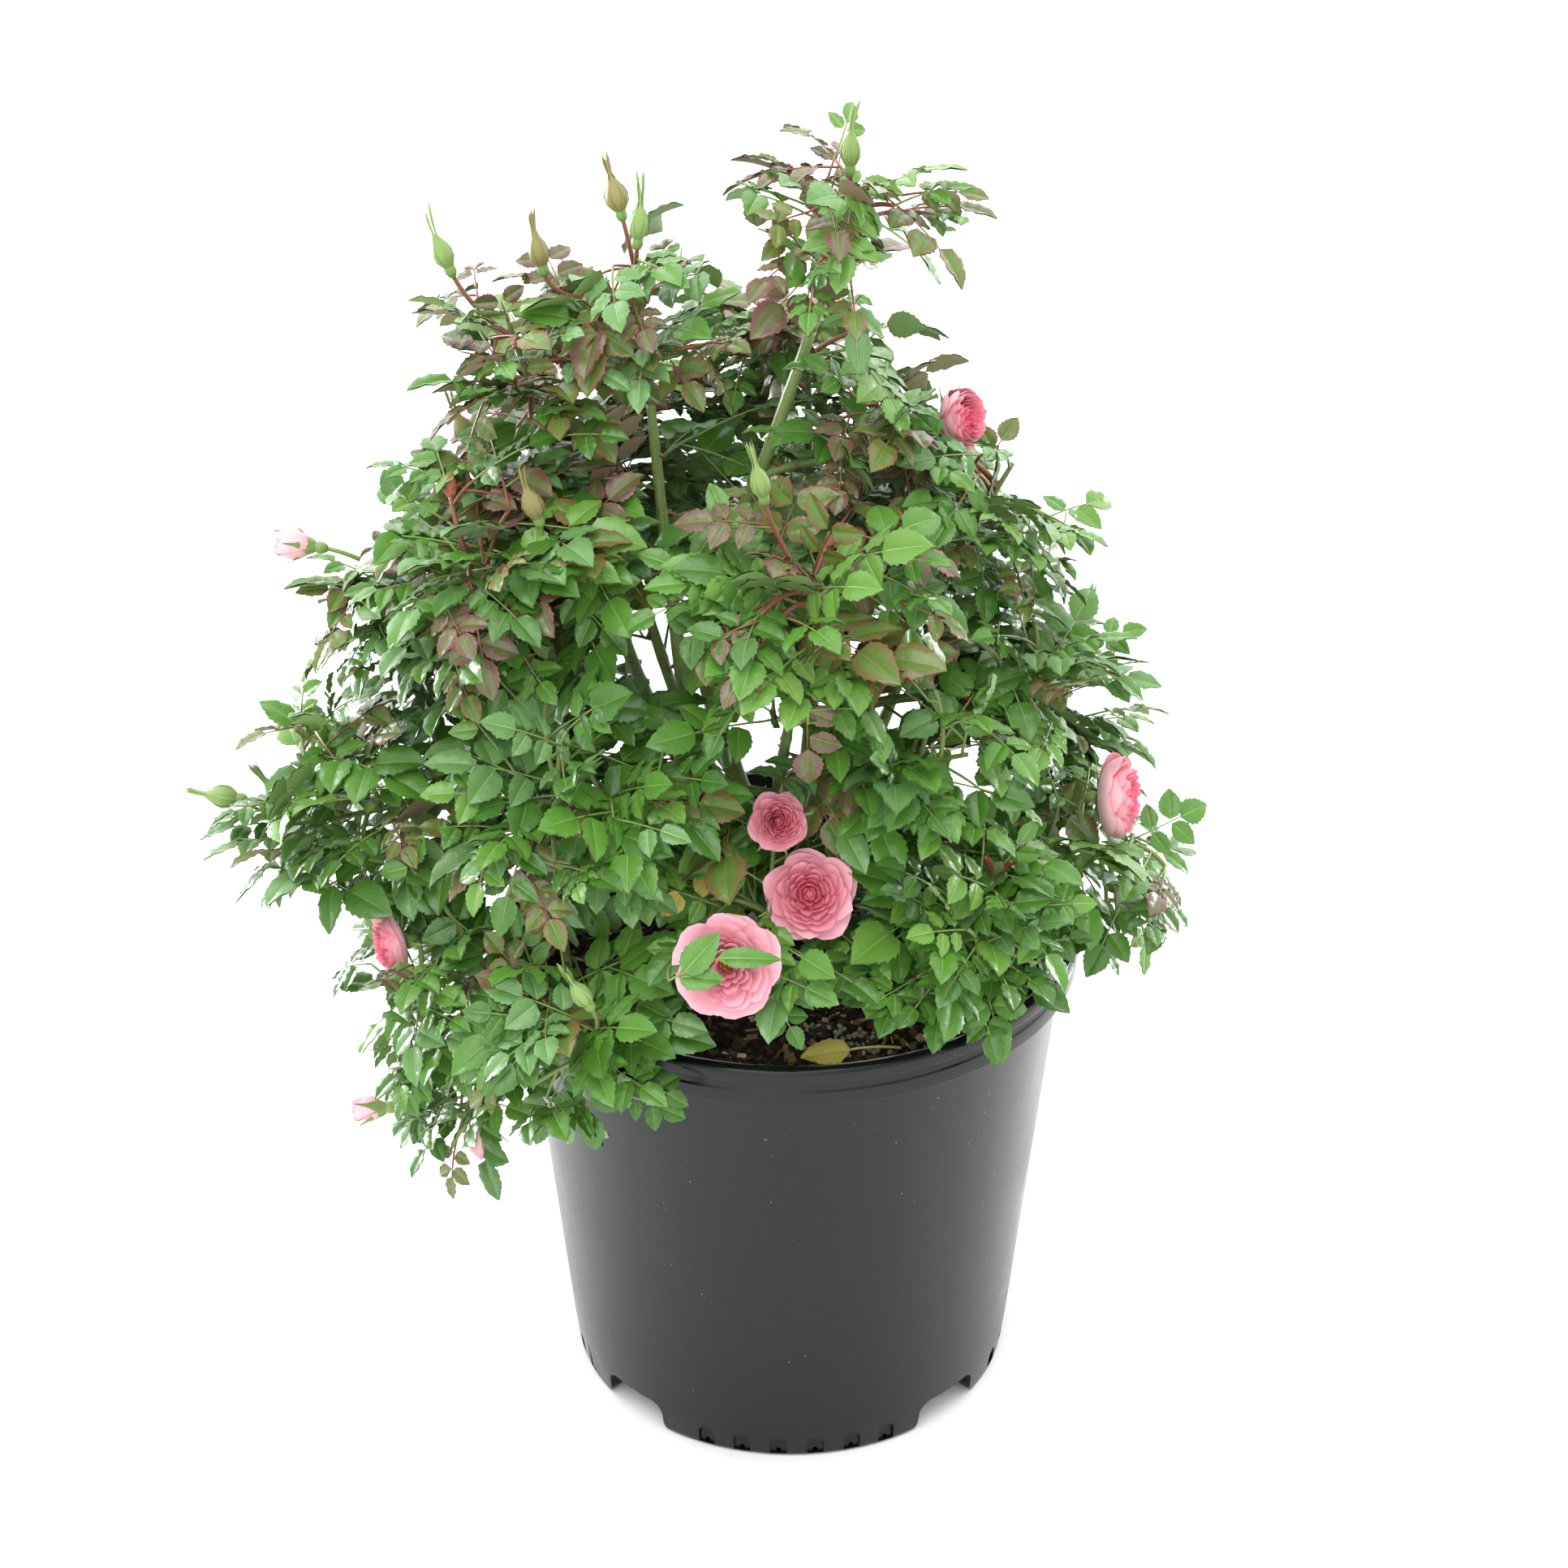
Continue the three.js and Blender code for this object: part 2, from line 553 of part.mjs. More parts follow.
// The leaves of one twig, from its tip back, each with the poses it can take: where it would not fit it
// grows from another side and stays smaller. A flower takes the place of the last leaves.
function leavesAlong({ curve, flower: bloom }, index, roll) {
  const first = 0.25;
  const last = bloom ? 0.7 : 1;
  const frames = curve.computeFrenetFrames(stepsOf(curve), false);
  const count = Math.max(2, Math.round(((last - first) * curve.getLength()) / LEAF.spacing) + 1);
  return Array.from({ length: count }, (_, j) => {
    const share = last - ((last - first) * j) / (count - 1);
    const size = 0.85 + 0.3 * roll();
    const tilt = new THREE.Vector3(roll() - 0.5, roll() - 0.5, roll() - 0.5).multiplyScalar(0.7);
    return LEAF.tries.map(([sides, shrunk]) =>
      leafPose(curve, frames, share, index + j + sides, size * shrunk, tilt),
    );
  });
}

// A leaf stands for a whole spray of five leaflets: a thin folded blade with a drooping tip.
function blade({ root, direction, normal, length }, from = -LEAF.sunk) {
  const shape = bare(new THREE.OctahedronGeometry(1, 0));
  const across = new THREE.Vector3().crossVectors(normal, direction);
  const position = shape.attributes.position;
  for (let i = 0; i < position.count; i++) {
    const [x, y, z] = [position.getX(i), position.getY(i), position.getZ(i)];
    const along = x < -0.5 ? from : x > 0.5 ? length : 0.5 * length;
    const lift = x > 0.5 ? -0.12 * length : Math.abs(y) * 0.07 * length + z * LEAF.thickness * 0.5;
    const place = root
      .clone()
      .addScaledVector(direction, along)
      .addScaledVector(across, y * 0.5 * LEAF.width * length)
      .addScaledVector(normal, lift);
    position.setXYZ(i, place.x, place.y, place.z);
  }
  return shape;
}

function vertices(solid) {
  const { numProp, vertProperties } = solid.getMesh();
  const count = vertProperties.length / numProp;
  return Array.from({ length: count }, (_, i) => new THREE.Vector3().fromArray(vertProperties, i * numProp));
}

// The pot and the mix with a margin round them, which no twig or leaf enters.
function potRoom() {
  const margin = 2.5;
  const profile = [
    [0, -margin],
    [POT.footRadius + margin, -margin],
    [wallRadius(POT.skirtBottom) + margin, POT.skirtBottom - 3 * margin],
    [POT.rimRadius + margin, POT.skirtBottom - margin],
    [POT.rimRadius + margin, POT.height + margin],
    [POT.rimRadius - POT.lipWidth - 2 * margin, POT.height + margin],
    [wallRadius(MIX.edgeHeight) - 3 * margin, MIX.crownHeight + margin],
    [0, MIX.crownHeight + 2 * margin],
  ];
  return turned(profile, 24);
}

const leavesSpace = (mass, solid) => vertices(solid).some((place) => depthInSpace(mass, place) < CLEAR);

const boxesMeet = (a, b) => [0, 1, 2].every((i) => a.min[i] < b.max[i] && b.min[i] < a.max[i]);

function meets(solid, others) {
  const box = solid.boundingBox();
  return others.some((other) => boxesMeet(box, other.boundingBox()) && !solid.intersect(other).isEmpty());
}

// A mass of foliage is one solid: its stem, its shoots, and the leaves and flowers fused on to them. Whatever
// would leave the mass's own space, or touch a limb or the pot, does not grow, and neither do leaves that
// would run into one another.
function foliage(mass, seed, barriers) {
  const roll = dice(seed);
  const stem = stemOf(mass);
  const twigs = [{ curve: stem.curve, isStem: true }, ...shootsOf(mass, stem, roll)];
  const sprays = twigs.map((twig, i) => leavesAlong(twig, i, roll));
  const parts = [limb(stem.curve, mass.limbRadius + 0.2, TWIG.stemTip, 4, stepsOf(stem.curve))];
  const blades = []; // each leaf's blade without its foot, which it must keep to itself
  const grown = [0];
  twigs.forEach((twig, i) => {
    if (twig.isStem) return;
    const made = [limb(twig.curve, TWIG.shoot, TWIG.tip, 3, stepsOf(twig.curve))];
    if (twig.flower) made.push(flower(twig.flower));
    if (made.some((solid) => leavesSpace(mass, solid) || meets(solid, barriers))) return;
    const clearOfStem = new THREE.LineCurve3(twig.curve.getPoint(0.15), twig.curve.getPoint(1));
    if (!twig.flower && meets(limb(clearOfStem, TWIG.shoot, TWIG.tip, 3, 1), parts)) return;
    parts.push(...made);
    grown.push(i);
  });
  const leaves = [];
  const fits = (pose) => {
    const leaf = solidOf(blade(pose));
    const tips = vertices(leaf);
    if (leavesSpace(mass, leaf) || tips.some((tip) => tip.distanceTo(mass.centre) > mass.size)) return false;
    const free = solidOf(blade(pose, LEAF.foot));
    if (meets(leaf, barriers) || meets(free, blades) || meets(free, parts)) return false;
    leaves.push(leaf);
    blades.push(free);
    return true;
  };
  for (const i of grown) {
    for (const poses of sprays[i]) poses.some(fits);
  }
  return mainBody(wasm.Manifold.union([...parts, ...leaves]));
}

// ---- The bush ----------------------------------------------------------------------------------------

const finish = (color, roughness) => new THREE.MeshStandardMaterial({ color, roughness, metalness: 0 });
const potPlastic = finish(0x2a2d30, 0.42);
const barkMix = finish(0x3a2a1e, 0.95);
const woodyCane = finish(0x5a4a2c, 0.7);
const greenCane = finish(0x57682f, 0.6);
const leafGreen = finish(0x3f6f33, 0.5);

const bush = new THREE.Group();
bush.name = "rose_bush";
bush.add(meshOf("pot", pot(), potPlastic));
bush.add(meshOf("potting_mix", pottingMix(), barkMix));
const woody = limbs();
for (const { name, solid } of woody) {
  bush.add(meshOf(name, solid, name === "root_collar" ? woodyCane : greenCane));
}
const barriers = [potRoom(), ...woody.map(({ swollen }) => swollen)];
MASSES.forEach((mass, i) => {
  bush.add(meshOf(mass.name, foliage(mass, i + 1, barriers), leafGreen));
});

export default bush;
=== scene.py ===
# A patio rose bush in its black nursery pot: bark and grit, green canes, leafy shoots, double pink blooms.
# Metres in every object, +Z up, +X to the bush's right and +Y to its back. The pot stands on the ground at
# the origin. Sizes are named in millimetres, and MM turns them to metres where a mesh is made.

from math import cos, pi, radians, sin, sqrt

import bpy
import numpy as np
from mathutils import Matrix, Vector

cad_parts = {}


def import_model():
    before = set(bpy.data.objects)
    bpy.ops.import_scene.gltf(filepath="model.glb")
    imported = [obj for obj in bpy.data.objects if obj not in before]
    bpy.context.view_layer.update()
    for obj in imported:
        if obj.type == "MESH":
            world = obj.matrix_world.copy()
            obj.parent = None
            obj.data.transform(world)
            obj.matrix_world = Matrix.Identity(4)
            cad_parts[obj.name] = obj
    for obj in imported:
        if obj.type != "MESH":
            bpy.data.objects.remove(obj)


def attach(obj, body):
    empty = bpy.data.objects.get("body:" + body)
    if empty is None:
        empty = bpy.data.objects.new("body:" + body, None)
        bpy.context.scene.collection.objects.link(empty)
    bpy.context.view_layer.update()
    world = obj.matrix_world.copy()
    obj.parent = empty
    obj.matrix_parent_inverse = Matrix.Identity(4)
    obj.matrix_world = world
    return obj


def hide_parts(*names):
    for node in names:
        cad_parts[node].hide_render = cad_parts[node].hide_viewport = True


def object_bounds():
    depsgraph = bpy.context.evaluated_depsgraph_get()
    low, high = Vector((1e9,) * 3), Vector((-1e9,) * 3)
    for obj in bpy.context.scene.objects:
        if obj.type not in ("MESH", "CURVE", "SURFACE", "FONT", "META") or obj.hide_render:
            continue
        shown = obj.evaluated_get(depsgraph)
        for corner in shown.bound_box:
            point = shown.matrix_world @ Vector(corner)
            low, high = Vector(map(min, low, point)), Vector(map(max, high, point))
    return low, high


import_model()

cad_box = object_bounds()

# ---- Camera, lights and floor ------------------------------------------------------------------------
# A still taken with a long lens from a little above the bush, in a white tent of soft light: the sweep
# behind the bush glows, the side where the camera stands is dimmer, and lamps hang in front and beside.

MM = 0.001
LOOKS_DOWN = radians(29.19)
EYE = np.array([-3.3, -1336.8, 1063.2])
LENS = 74.53  # on a 36 mm sensor

bpy.ops.object.select_all(action="DESELECT")
bpy.ops.object.camera_add(location=EYE * MM, rotation=(pi / 2 - LOOKS_DOWN, 0, 0))
camera = bpy.context.object
camera.name = "camera"
camera.data.lens = LENS
camera.data.sensor_width = 36
bpy.context.scene.camera = camera
bpy.context.scene.view_settings.view_transform = "Standard"


def srgb(code):
    """The linear colour of a hex code such as #2b2d2e."""
    parts = [int(code[i : i + 2], 16) / 255 for i in (1, 3, 5)]
    return [p / 12.92 if p <= 0.04045 else ((p + 0.055) / 1.055) ** 2.4 for p in parts] + [1]


def add_node(tree, kind, links=None, **settings):
    """A new node. A setting that names a socket is its value, and links go from sockets to sockets."""
    made = tree.nodes.new(kind)
    for key, value in settings.items():
        if hasattr(made, key):
            setattr(made, key, value)
    for key, value in (links or {}).items():
        if isinstance(value, bpy.types.NodeSocket):
            tree.links.new(value, made.inputs[key])
        else:
            made.inputs[key].default_value = value
    return made


def blend(tree, factor, low, high):
    """Mixes two colours, each a hex code or a socket."""
    ends = [srgb(end) if isinstance(end, str) else end for end in (low, high)]
    made = add_node(tree, "ShaderNodeMix", {"Factor": factor, 6: ends[0], 7: ends[1]}, data_type="RGBA")
    return made.outputs[2]


def ramp(tree, value, start, end, low, high):
    """Maps a value between start and end to low and high."""
    made = add_node(tree, "ShaderNodeMapRange", {"Value": value, 1: start, 2: end, 3: low, 4: high})
    return made.outputs["Result"]


def bump(tree, height, strength, distance, over=None):
    """A bump with a depth in millimetres, on its own or over another one."""
    links = {"Height": height, "Strength": strength, "Distance": distance * MM}
    if over:
        links["Normal"] = over
    return add_node(tree, "ShaderNodeBump", links).outputs["Normal"]


def new_finish(name, colour, roughness, **more):
    """A Principled material with plain values. Patterns are linked to it afterwards."""
    material = bpy.data.materials.new(name)
    material.use_nodes = True
    shader = material.node_tree.nodes["Principled BSDF"]
    shader.inputs["Base Color"].default_value = srgb(colour)
    shader.inputs["Roughness"].default_value = roughness
    for key, value in more.items():
        shader.inputs[key.replace("_", " ")].default_value = value
    return material, material.node_tree, shader


def lamp(name, place, target, size, watts):
    """A round soft lamp that shines at a target."""
    turn = (Vector(target) - Vector(place)).to_track_quat("-Z", "Y").to_euler()
    bpy.ops.object.light_add(type="AREA", location=place, rotation=turn)
    light = bpy.context.object
    light.name = name
    light.data.shape = "DISK"
    light.data.size = size
    light.data.energy = watts
    return light


lamp("front_top_lamp", (-0.3, -1.0, 2.4), (0, 0, 0.3), 1.8, 30)
lamp("front_fill_lamp", (-0.3, -2.1, 1.1), (0, 0, 0.35), 1.4, 9)
lamp("left_back_lamp", (-1.7, 1.1, 1.5), (0, 0, 0.3), 1.2, 10)
left_side = lamp("left_side_lamp", (-1.15, 0.8, 0.35), (-0.1, 0, 0.12), 0.5, 34)
right_side = lamp("right_side_lamp", (1.2, 0.8, 0.35), (0.1, 0, 0.12), 0.5, 15)
# The two side lamps only glance: they put a sheen on the edges of leaves and pot.
left_side.visible_diffuse = False
right_side.visible_diffuse = False

TENT = {"front": 1.1, "back": 2.8}  # brightness
world = bpy.data.worlds.new("white_tent")
world.use_nodes = True
tree = world.node_tree
sky = add_node(tree, "ShaderNodeTexCoord").outputs["Generated"]
heading_of = add_node(tree, "ShaderNodeSeparateXYZ", {0: sky})
glow = ramp(tree, heading_of.outputs["Y"], -0.3, 0.8, TENT["front"], TENT["back"])
tent = tree.nodes["Background"]
tent.inputs["Color"].default_value = (1, 1, 1, 1)
tree.links.new(glow, tent.inputs["Strength"])
bpy.context.scene.world = world

# Matte white paper, rolled out under the pot.
paper = new_finish("white_paper", "#fbfbfa", 0.9)[0]
bpy.ops.mesh.primitive_plane_add(size=16)
floor = bpy.context.object
floor.name = "floor"
floor.data.materials.append(paper)

# ---- Pot ---------------------------------------------------------------------------------------------
# A three-gallon nursery pot, blow-moulded in black polyethylene: a tapering wall, a rolled lip with a short
# skirt under it, and four feet parted by arches, with a row of small dents in each foot, pierced to drain.

POT = {
    "height": 248,
    "foot_radius": 109.4,
    "wall_taper": 0.0978,  # radius gained for each millimetre of height
    "wall": 2,
    "rim_radius": 140,
    "lip_bottom": 241,
    "lip_width": 3.5,
    "skirt_radius": 138.6,
    "skirt_bottom": 228,
    "steps": 144,
}
ARCH = {"count": 4, "half_width": 19, "height": 17, "corner": 7, "flare": 6, "depth": 22}
SLOT = {"per_foot": 6, "pitch": 9.5, "offset": 1.6, "bottom": 1.8, "depth": 1.7}
DENT = {"half_width": 4.1, "height": 10.4, "corner": 3.8}  # the pocket that each slot is pressed into
HOLE = {"half_width": 1.2, "height": 2.6, "corner": 1.1}


def placed_in_scene(name, mesh):
    made = bpy.data.objects.new(name, mesh)
    bpy.context.scene.collection.objects.link(made)
    return made


def pick(pieces):
    """Selects only these pieces, with the first one active."""
    bpy.ops.object.select_all(action="DESELECT")
    for piece in pieces:
        piece.select_set(True)
    bpy.context.view_layer.objects.active = pieces[0]


def wall_radius(height):
    return POT["foot_radius"] + POT["wall_taper"] * height


def rounded(corners, steps=4):
    """A profile of [radius, height, rounding] corners with each corner turned into an arc."""
    made = []
    for i, (*at, rounding) in enumerate(corners):
        at = np.array(at, float)
        if not rounding:
            made.append(at)
            continue
        before, after = np.array(corners[i - 1][:2], float), np.array(corners[i + 1][:2], float)
        back, ahead = [(p - at) / np.linalg.norm(p - at) for p in (before, after)]
        start, end = at + back * rounding, at + ahead * rounding
        for t in np.linspace(0, 1, steps + 1):
            made.append((1 - t) ** 2 * start + 2 * t * (1 - t) * at + t**2 * end)
    return made


def turn_profile(name, profile, steps):
    """A new object, drawn as a line of points from the axis out and back to it, and spun about Z."""
    bpy.ops.object.select_all(action="DESELECT")
    bpy.ops.mesh.primitive_plane_add(size=1)
    made = bpy.context.object
    made.name = name
    bpy.ops.object.mode_set(mode="EDIT")
    bpy.ops.mesh.select_all(action="SELECT")
    bpy.ops.mesh.merge(type="CENTER")
    last = np.zeros(2)
    for i, spot in enumerate(profile):
        radius, height = (np.array(spot) - last) * MM
        if i == 0:
            bpy.ops.transform.translate(value=(radius, 0, height))
        else:
            bpy.ops.mesh.extrude_vertices_move(TRANSFORM_OT_translate={"value": (radius, 0, height)})
        last = np.array(spot)
    bpy.ops.mesh.select_all(action="SELECT")
    bpy.ops.mesh.spin(steps=steps, angle=2 * pi, center=(0, 0, 0), axis=(0, 0, 1))
    bpy.ops.mesh.select_all(action="SELECT")
    bpy.ops.mesh.remove_doubles(threshold=0.01 * MM)
    bpy.ops.mesh.normals_make_consistent(inside=False)
    bpy.ops.object.mode_set(mode="OBJECT")
    return made


def doorway(half_width, bottom, top, corner, flare, base, radius, depth, turn):
    """A radial block at an angle, with rounded upper corners. Above its base it flares out to the floor, so
    that what is left beside it stands on a rounded foot."""
    quarter = np.linspace(0, pi / 2, 7)
    right = [(half_width + flare, bottom)]
    if flare > 0:
        right += [(half_width + flare * (1 - sin(a)), base + flare * (1 - cos(a))) for a in quarter]
    right += [(half_width - corner * (1 - cos(a)), top - corner * (1 - sin(a))) for a in quarter]
    sides = right + [(-y, z) for y, z in right[::-1]]
    count, sine, cosine = len(sides), sin(radians(turn)), cos(radians(turn))
    points = [
        ((x * cosine - y * sine) * MM, (x * sine + y * cosine) * MM, z * MM)
        for x in (radius, radius + depth)
        for y, z in sides
    ]
    faces = [list(range(count))[::-1], list(range(count, 2 * count))]
    faces += [[i, (i + 1) % count, count + (i + 1) % count, count + i] for i in range(count)]
    mesh = bpy.data.meshes.new("doorway")
    mesh.from_pydata(points, [], faces)
    return placed_in_scene("doorway", mesh)


def joined(pieces):
    pick(pieces)
    bpy.ops.object.join()
    return bpy.context.object


def cut_away(piece, cutter):
    """Takes the cutter's shape out of a piece, and the cutter with it."""
    pick([piece])
    modifier = piece.modifiers.new("cut", "BOOLEAN")
    modifier.operation = "DIFFERENCE"
    modifier.solver = "EXACT"
    modifier.object = cutter
    bpy.ops.object.modifier_apply(modifier=modifier.name)
    bpy.data.objects.remove(cutter)


def arches(margin):
    """The four arches between the feet, grown by a margin for the walls round them."""
    turns = [(i + 0.5) * 360 / ARCH["count"] for i in range(ARCH["count"])]
    inner = POT["foot_radius"] - ARCH["depth"] - margin
    return joined(
        [
            doorway(
                ARCH["half_width"] + margin,
                -ARCH["height"],
                ARCH["height"] + margin,
                ARCH["corner"],
                ARCH["flare"] - margin,
                margin,
                inner,
                2 * ARCH["depth"],
                turn,
            )
            for turn in turns
        ]
    )


def slots(shape, depth, margin=0):
    """A row of pockets or holes in each foot, grown by a margin for the walls round them."""
    made = []
    for foot in range(ARCH["count"]):
        for i in range(SLOT["per_foot"]):
            offset = (i - (SLOT["per_foot"] - 1) / 2) * SLOT["pitch"] + SLOT["offset"]
            made.append(
                doorway(
                    shape["half_width"] + margin,
                    SLOT["bottom"] - margin,
                    SLOT["bottom"] + shape["height"] + margin,
                    shape["corner"] + margin,
                    0,
                    0,
                    POT["foot_radius"] - depth - margin,
                    3 * SLOT["depth"] + depth,
                    foot * 360 / ARCH["count"] + offset,
                )
            )
    return joined(made)


DENT_TOP = ARCH["height"] + 4
wall_top = POT["lip_bottom"] - 4
inner_top = wall_radius(POT["lip_bottom"]) - POT["wall"]
skirt_inner = POT["skirt_radius"] - POT["wall"]
pot = turn_profile(
    "nursery_pot",
    rounded(
        [
            (0, 0, 0),
            (POT["foot_radius"] - 0.5, 0, 3),
            (wall_radius(DENT_TOP), DENT_TOP, 0),
            (wall_radius(2 * DENT_TOP), 2 * DENT_TOP, 0),
            (wall_radius(wall_top), wall_top + 1, 0.8),
            (skirt_inner, wall_top + 1, 0.4),
            (skirt_inner, POT["skirt_bottom"], 0.6),
            (POT["skirt_radius"], POT["skirt_bottom"], 0.8),
            (POT["skirt_radius"], 235.4, 0.3),
            (POT["skirt_radius"] - 0.7, 236.2, 0.3),
            (POT["skirt_radius"] - 1, 238.6, 0.6),
            (POT["skirt_radius"] - 1.2, 240.6, 0.4),
            (POT["rim_radius"], POT["lip_bottom"], 0.6),
            (POT["rim_radius"], POT["height"], 3),
            (POT["rim_radius"] - POT["lip_width"] - 3, POT["height"], 2.4),
            (inner_top, wall_top, 0.5),
            (0, wall_top, 0),
        ]
    ),
    POT["steps"],
)
hollow = turn_profile(
    "hollow",
    [
        (0, POT["wall"]),
        (wall_radius(POT["wall"]) - POT["wall"] - 1, POT["wall"]),
        (wall_radius(2 * POT["wall"]) - POT["wall"], 2 * POT["wall"]),
        (inner_top, wall_top),
        (inner_top, POT["height"]),
        (0, POT["height"]),
    ],
    POT["steps"],
)
cut_away(hollow, arches(POT["wall"]))
cut_away(hollow, slots(DENT, SLOT["depth"], POT["wall"]))
cut_away(pot, hollow)
cut_away(pot, arches(0))
cut_away(pot, slots(DENT, SLOT["depth"]))
cut_away(pot, slots(HOLE, 3 * SLOT["depth"]))
bpy.ops.object.shade_smooth_by_angle(angle=radians(32))

# Black polyethylene, blow-moulded: satin, a little cloudy where it has been handled, with an even orange
# peel, fine scratches, and specks of dried splash.
pot_black, tree, shader = new_finish("blow_moulded_polyethylene", "#0e1011", 0.26, IOR=1.38)
place = add_node(tree, "ShaderNodeTexCoord").outputs["Object"]
cloud = add_node(tree, "ShaderNodeTexNoise", {"Vector": place, "Scale": 14, "Detail": 5, "Roughness": 0.6})
speck = add_node(tree, "ShaderNodeTexVoronoi", {"Vector": place, "Scale": 210, "Randomness": 1})
speck_at = ramp(tree, speck.outputs["Distance"], 0.05, 0.11, 1, 0)
rare = add_node(tree, "ShaderNodeTexNoise", {"Vector": place, "Scale": 47, "Detail": 1})
rare_at = ramp(tree, rare.outputs["Fac"], 0.6, 0.66, 0, 0.5)
splash = add_node(tree, "ShaderNodeMath", {0: speck_at, 1: rare_at}, operation="MULTIPLY")
body = blend(tree, cloud.outputs["Fac"], "#080a0b", "#0f1214")
dusty = blend(tree, splash.outputs["Value"], body, "#a5a7a4")
tree.links.new(dusty, shader.inputs["Base Color"])
handled = ramp(tree, cloud.outputs["Fac"], 0.3, 0.7, 0.18, 0.31)
tree.links.new(handled, shader.inputs["Roughness"])
peel = add_node(tree, "ShaderNodeTexNoise", {"Vector": place, "Scale": 620, "Detail": 3})
wavy = add_node(tree, "ShaderNodeMapping", {"Vector": place, "Scale": (1, 1, 0.12)}).outputs["Vector"]
scratch = add_node(
    tree, "ShaderNodeTexNoise", {"Vector": wavy, "Scale": 330, "Detail": 6, "Distortion": 1.4}
)
orange_peel = bump(tree, peel.outputs["Fac"], 0.16, 0.4)
scratched = bump(tree, scratch.outputs["Fac"], 0.1, 0.4, orange_peel)
tree.links.new(scratched, shader.inputs["Normal"])

pot.data.materials.clear()
pot.data.materials.append(pot_black)
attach(pot, "root")
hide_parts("pot")

# ---- Potting mix -------------------------------------------------------------------------------------
# Composted bark and peat, filled to a finger's width under the rim: dark crumbs, brown shreds, paler
# chips, and round grey-green beads of slow feed.

MIX = {"edge_height": 233, "crown_height": 239, "flat_radius": 32, "lump": 1.6, "bottom": 22}
MIX_RADIUS = wall_radius(MIX["edge_height"]) - 0.3 - POT["wall"]


def smoothstep(value, low, high):
    share = np.clip((value - low) / (high - low), 0, 1)
    return share * share * (3 - 2 * share)


def mix_height(x, y):
    """The top of the mix, in millimetres: a low mound, uneven but for the ring where the canes come up."""
    away = np.hypot(x, y)
    rise = smoothstep(MIX_RADIUS - away, 0, MIX_RADIUS - MIX["flat_radius"])
    uneven = np.sin(x * 0.11 + 1) * np.cos(y * 0.13) + 0.6 * np.sin(x * 0.23 - y * 0.19)
    lump = MIX["lump"] * smoothstep(away, MIX["flat_radius"], MIX["flat_radius"] + 20) * uneven
    return MIX["edge_height"] + (MIX["crown_height"] - MIX["edge_height"]) * rise + lump


def joined_mesh(name, points, faces, finishes, materials, smooth=True):
    """One object from arrays of points, in millimetres, of triangles, and of each triangle's material."""
    mesh = bpy.data.meshes.new(name)
    mesh.vertices.add(len(points))
    mesh.vertices.foreach_set("co", (np.asarray(points) * MM).astype(np.float32).ravel())
    mesh.loops.add(3 * len(faces))
    mesh.loops.foreach_set("vertex_index", np.asarray(faces, np.int32).ravel())
    mesh.polygons.add(len(faces))
    mesh.polygons.foreach_set("loop_start", np.arange(0, 3 * len(faces), 3, dtype=np.int32))
    for material in materials:
        mesh.materials.append(material)
    mesh.polygons.foreach_set("material_index", np.asarray(finishes, np.int32))
    mesh.update(calc_edges=True)
    mesh.polygons.foreach_set("use_smooth", np.full(len(faces), smooth))
    return placed_in_scene(name, mesh)


class Heap:
    """Small parts gathered until they are joined into one mesh."""

    def __init__(self):
        self.points, self.faces, self.finishes, self.count = [], [], [], 0

    def add(self, points, faces, finish=0):
        self.points.append(points)
        self.faces.append(np.asarray(faces) + self.count)
        self.finishes.append(np.broadcast_to(finish, len(faces)))
        self.count += len(points)

    def piece(self, name, materials, smooth=True):
        parts = [np.concatenate(part) for part in (self.points, self.faces, self.finishes)]
        return joined_mesh(name, *parts, materials, smooth)


bpy.ops.object.select_all(action="DESELECT")
mound = turn_profile(
    "potting_mix_top",
    [(0, MIX["bottom"]), (wall_radius(MIX["bottom"]) - 2.6, MIX["bottom"])]
    + [(MIX_RADIUS * share, MIX["edge_height"]) for share in np.linspace(1, 0, 40)],
    120,
)
for vertex in mound.data.vertices:
    x, y, z = vertex.co / MM
    if z > MIX["bottom"] + 1:
        crumbs = 0.7 * sin(x * 1.31 + 2 * sin(y * 0.83)) * cos(y * 1.17 + 2 * sin(x * 0.71))
        vertex.co.z = (mix_height(x, y) - 0.8 + crumbs) * MM
pick([mound])
bpy.ops.object.shade_smooth()

# Peat and fine bark: nearly black in its hollows and warm brown on its crumbs.
peat, tree, shader = new_finish("peat_and_fine_bark", "#2a1e14", 0.95)
place = add_node(tree, "ShaderNodeTexCoord").outputs["Object"]
crumb = add_node(tree, "ShaderNodeTexVoronoi", {"Vector": place, "Scale": 420, "Randomness": 1})
grain = add_node(tree, "ShaderNodeTexNoise", {"Vector": place, "Scale": 260, "Detail": 6, "Roughness": 0.7})
soil = blend(tree, grain.outputs["Fac"], "#120d09", "#3c2c1f")
tree.links.new(soil, shader.inputs["Base Color"])
tree.links.new(bump(tree, crumb.outputs["Distance"], 0.9, 1.2), shader.inputs["Normal"])
mound.data.materials.clear()
mound.data.materials.append(peat)
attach(mound, "root")
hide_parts("potting_mix")

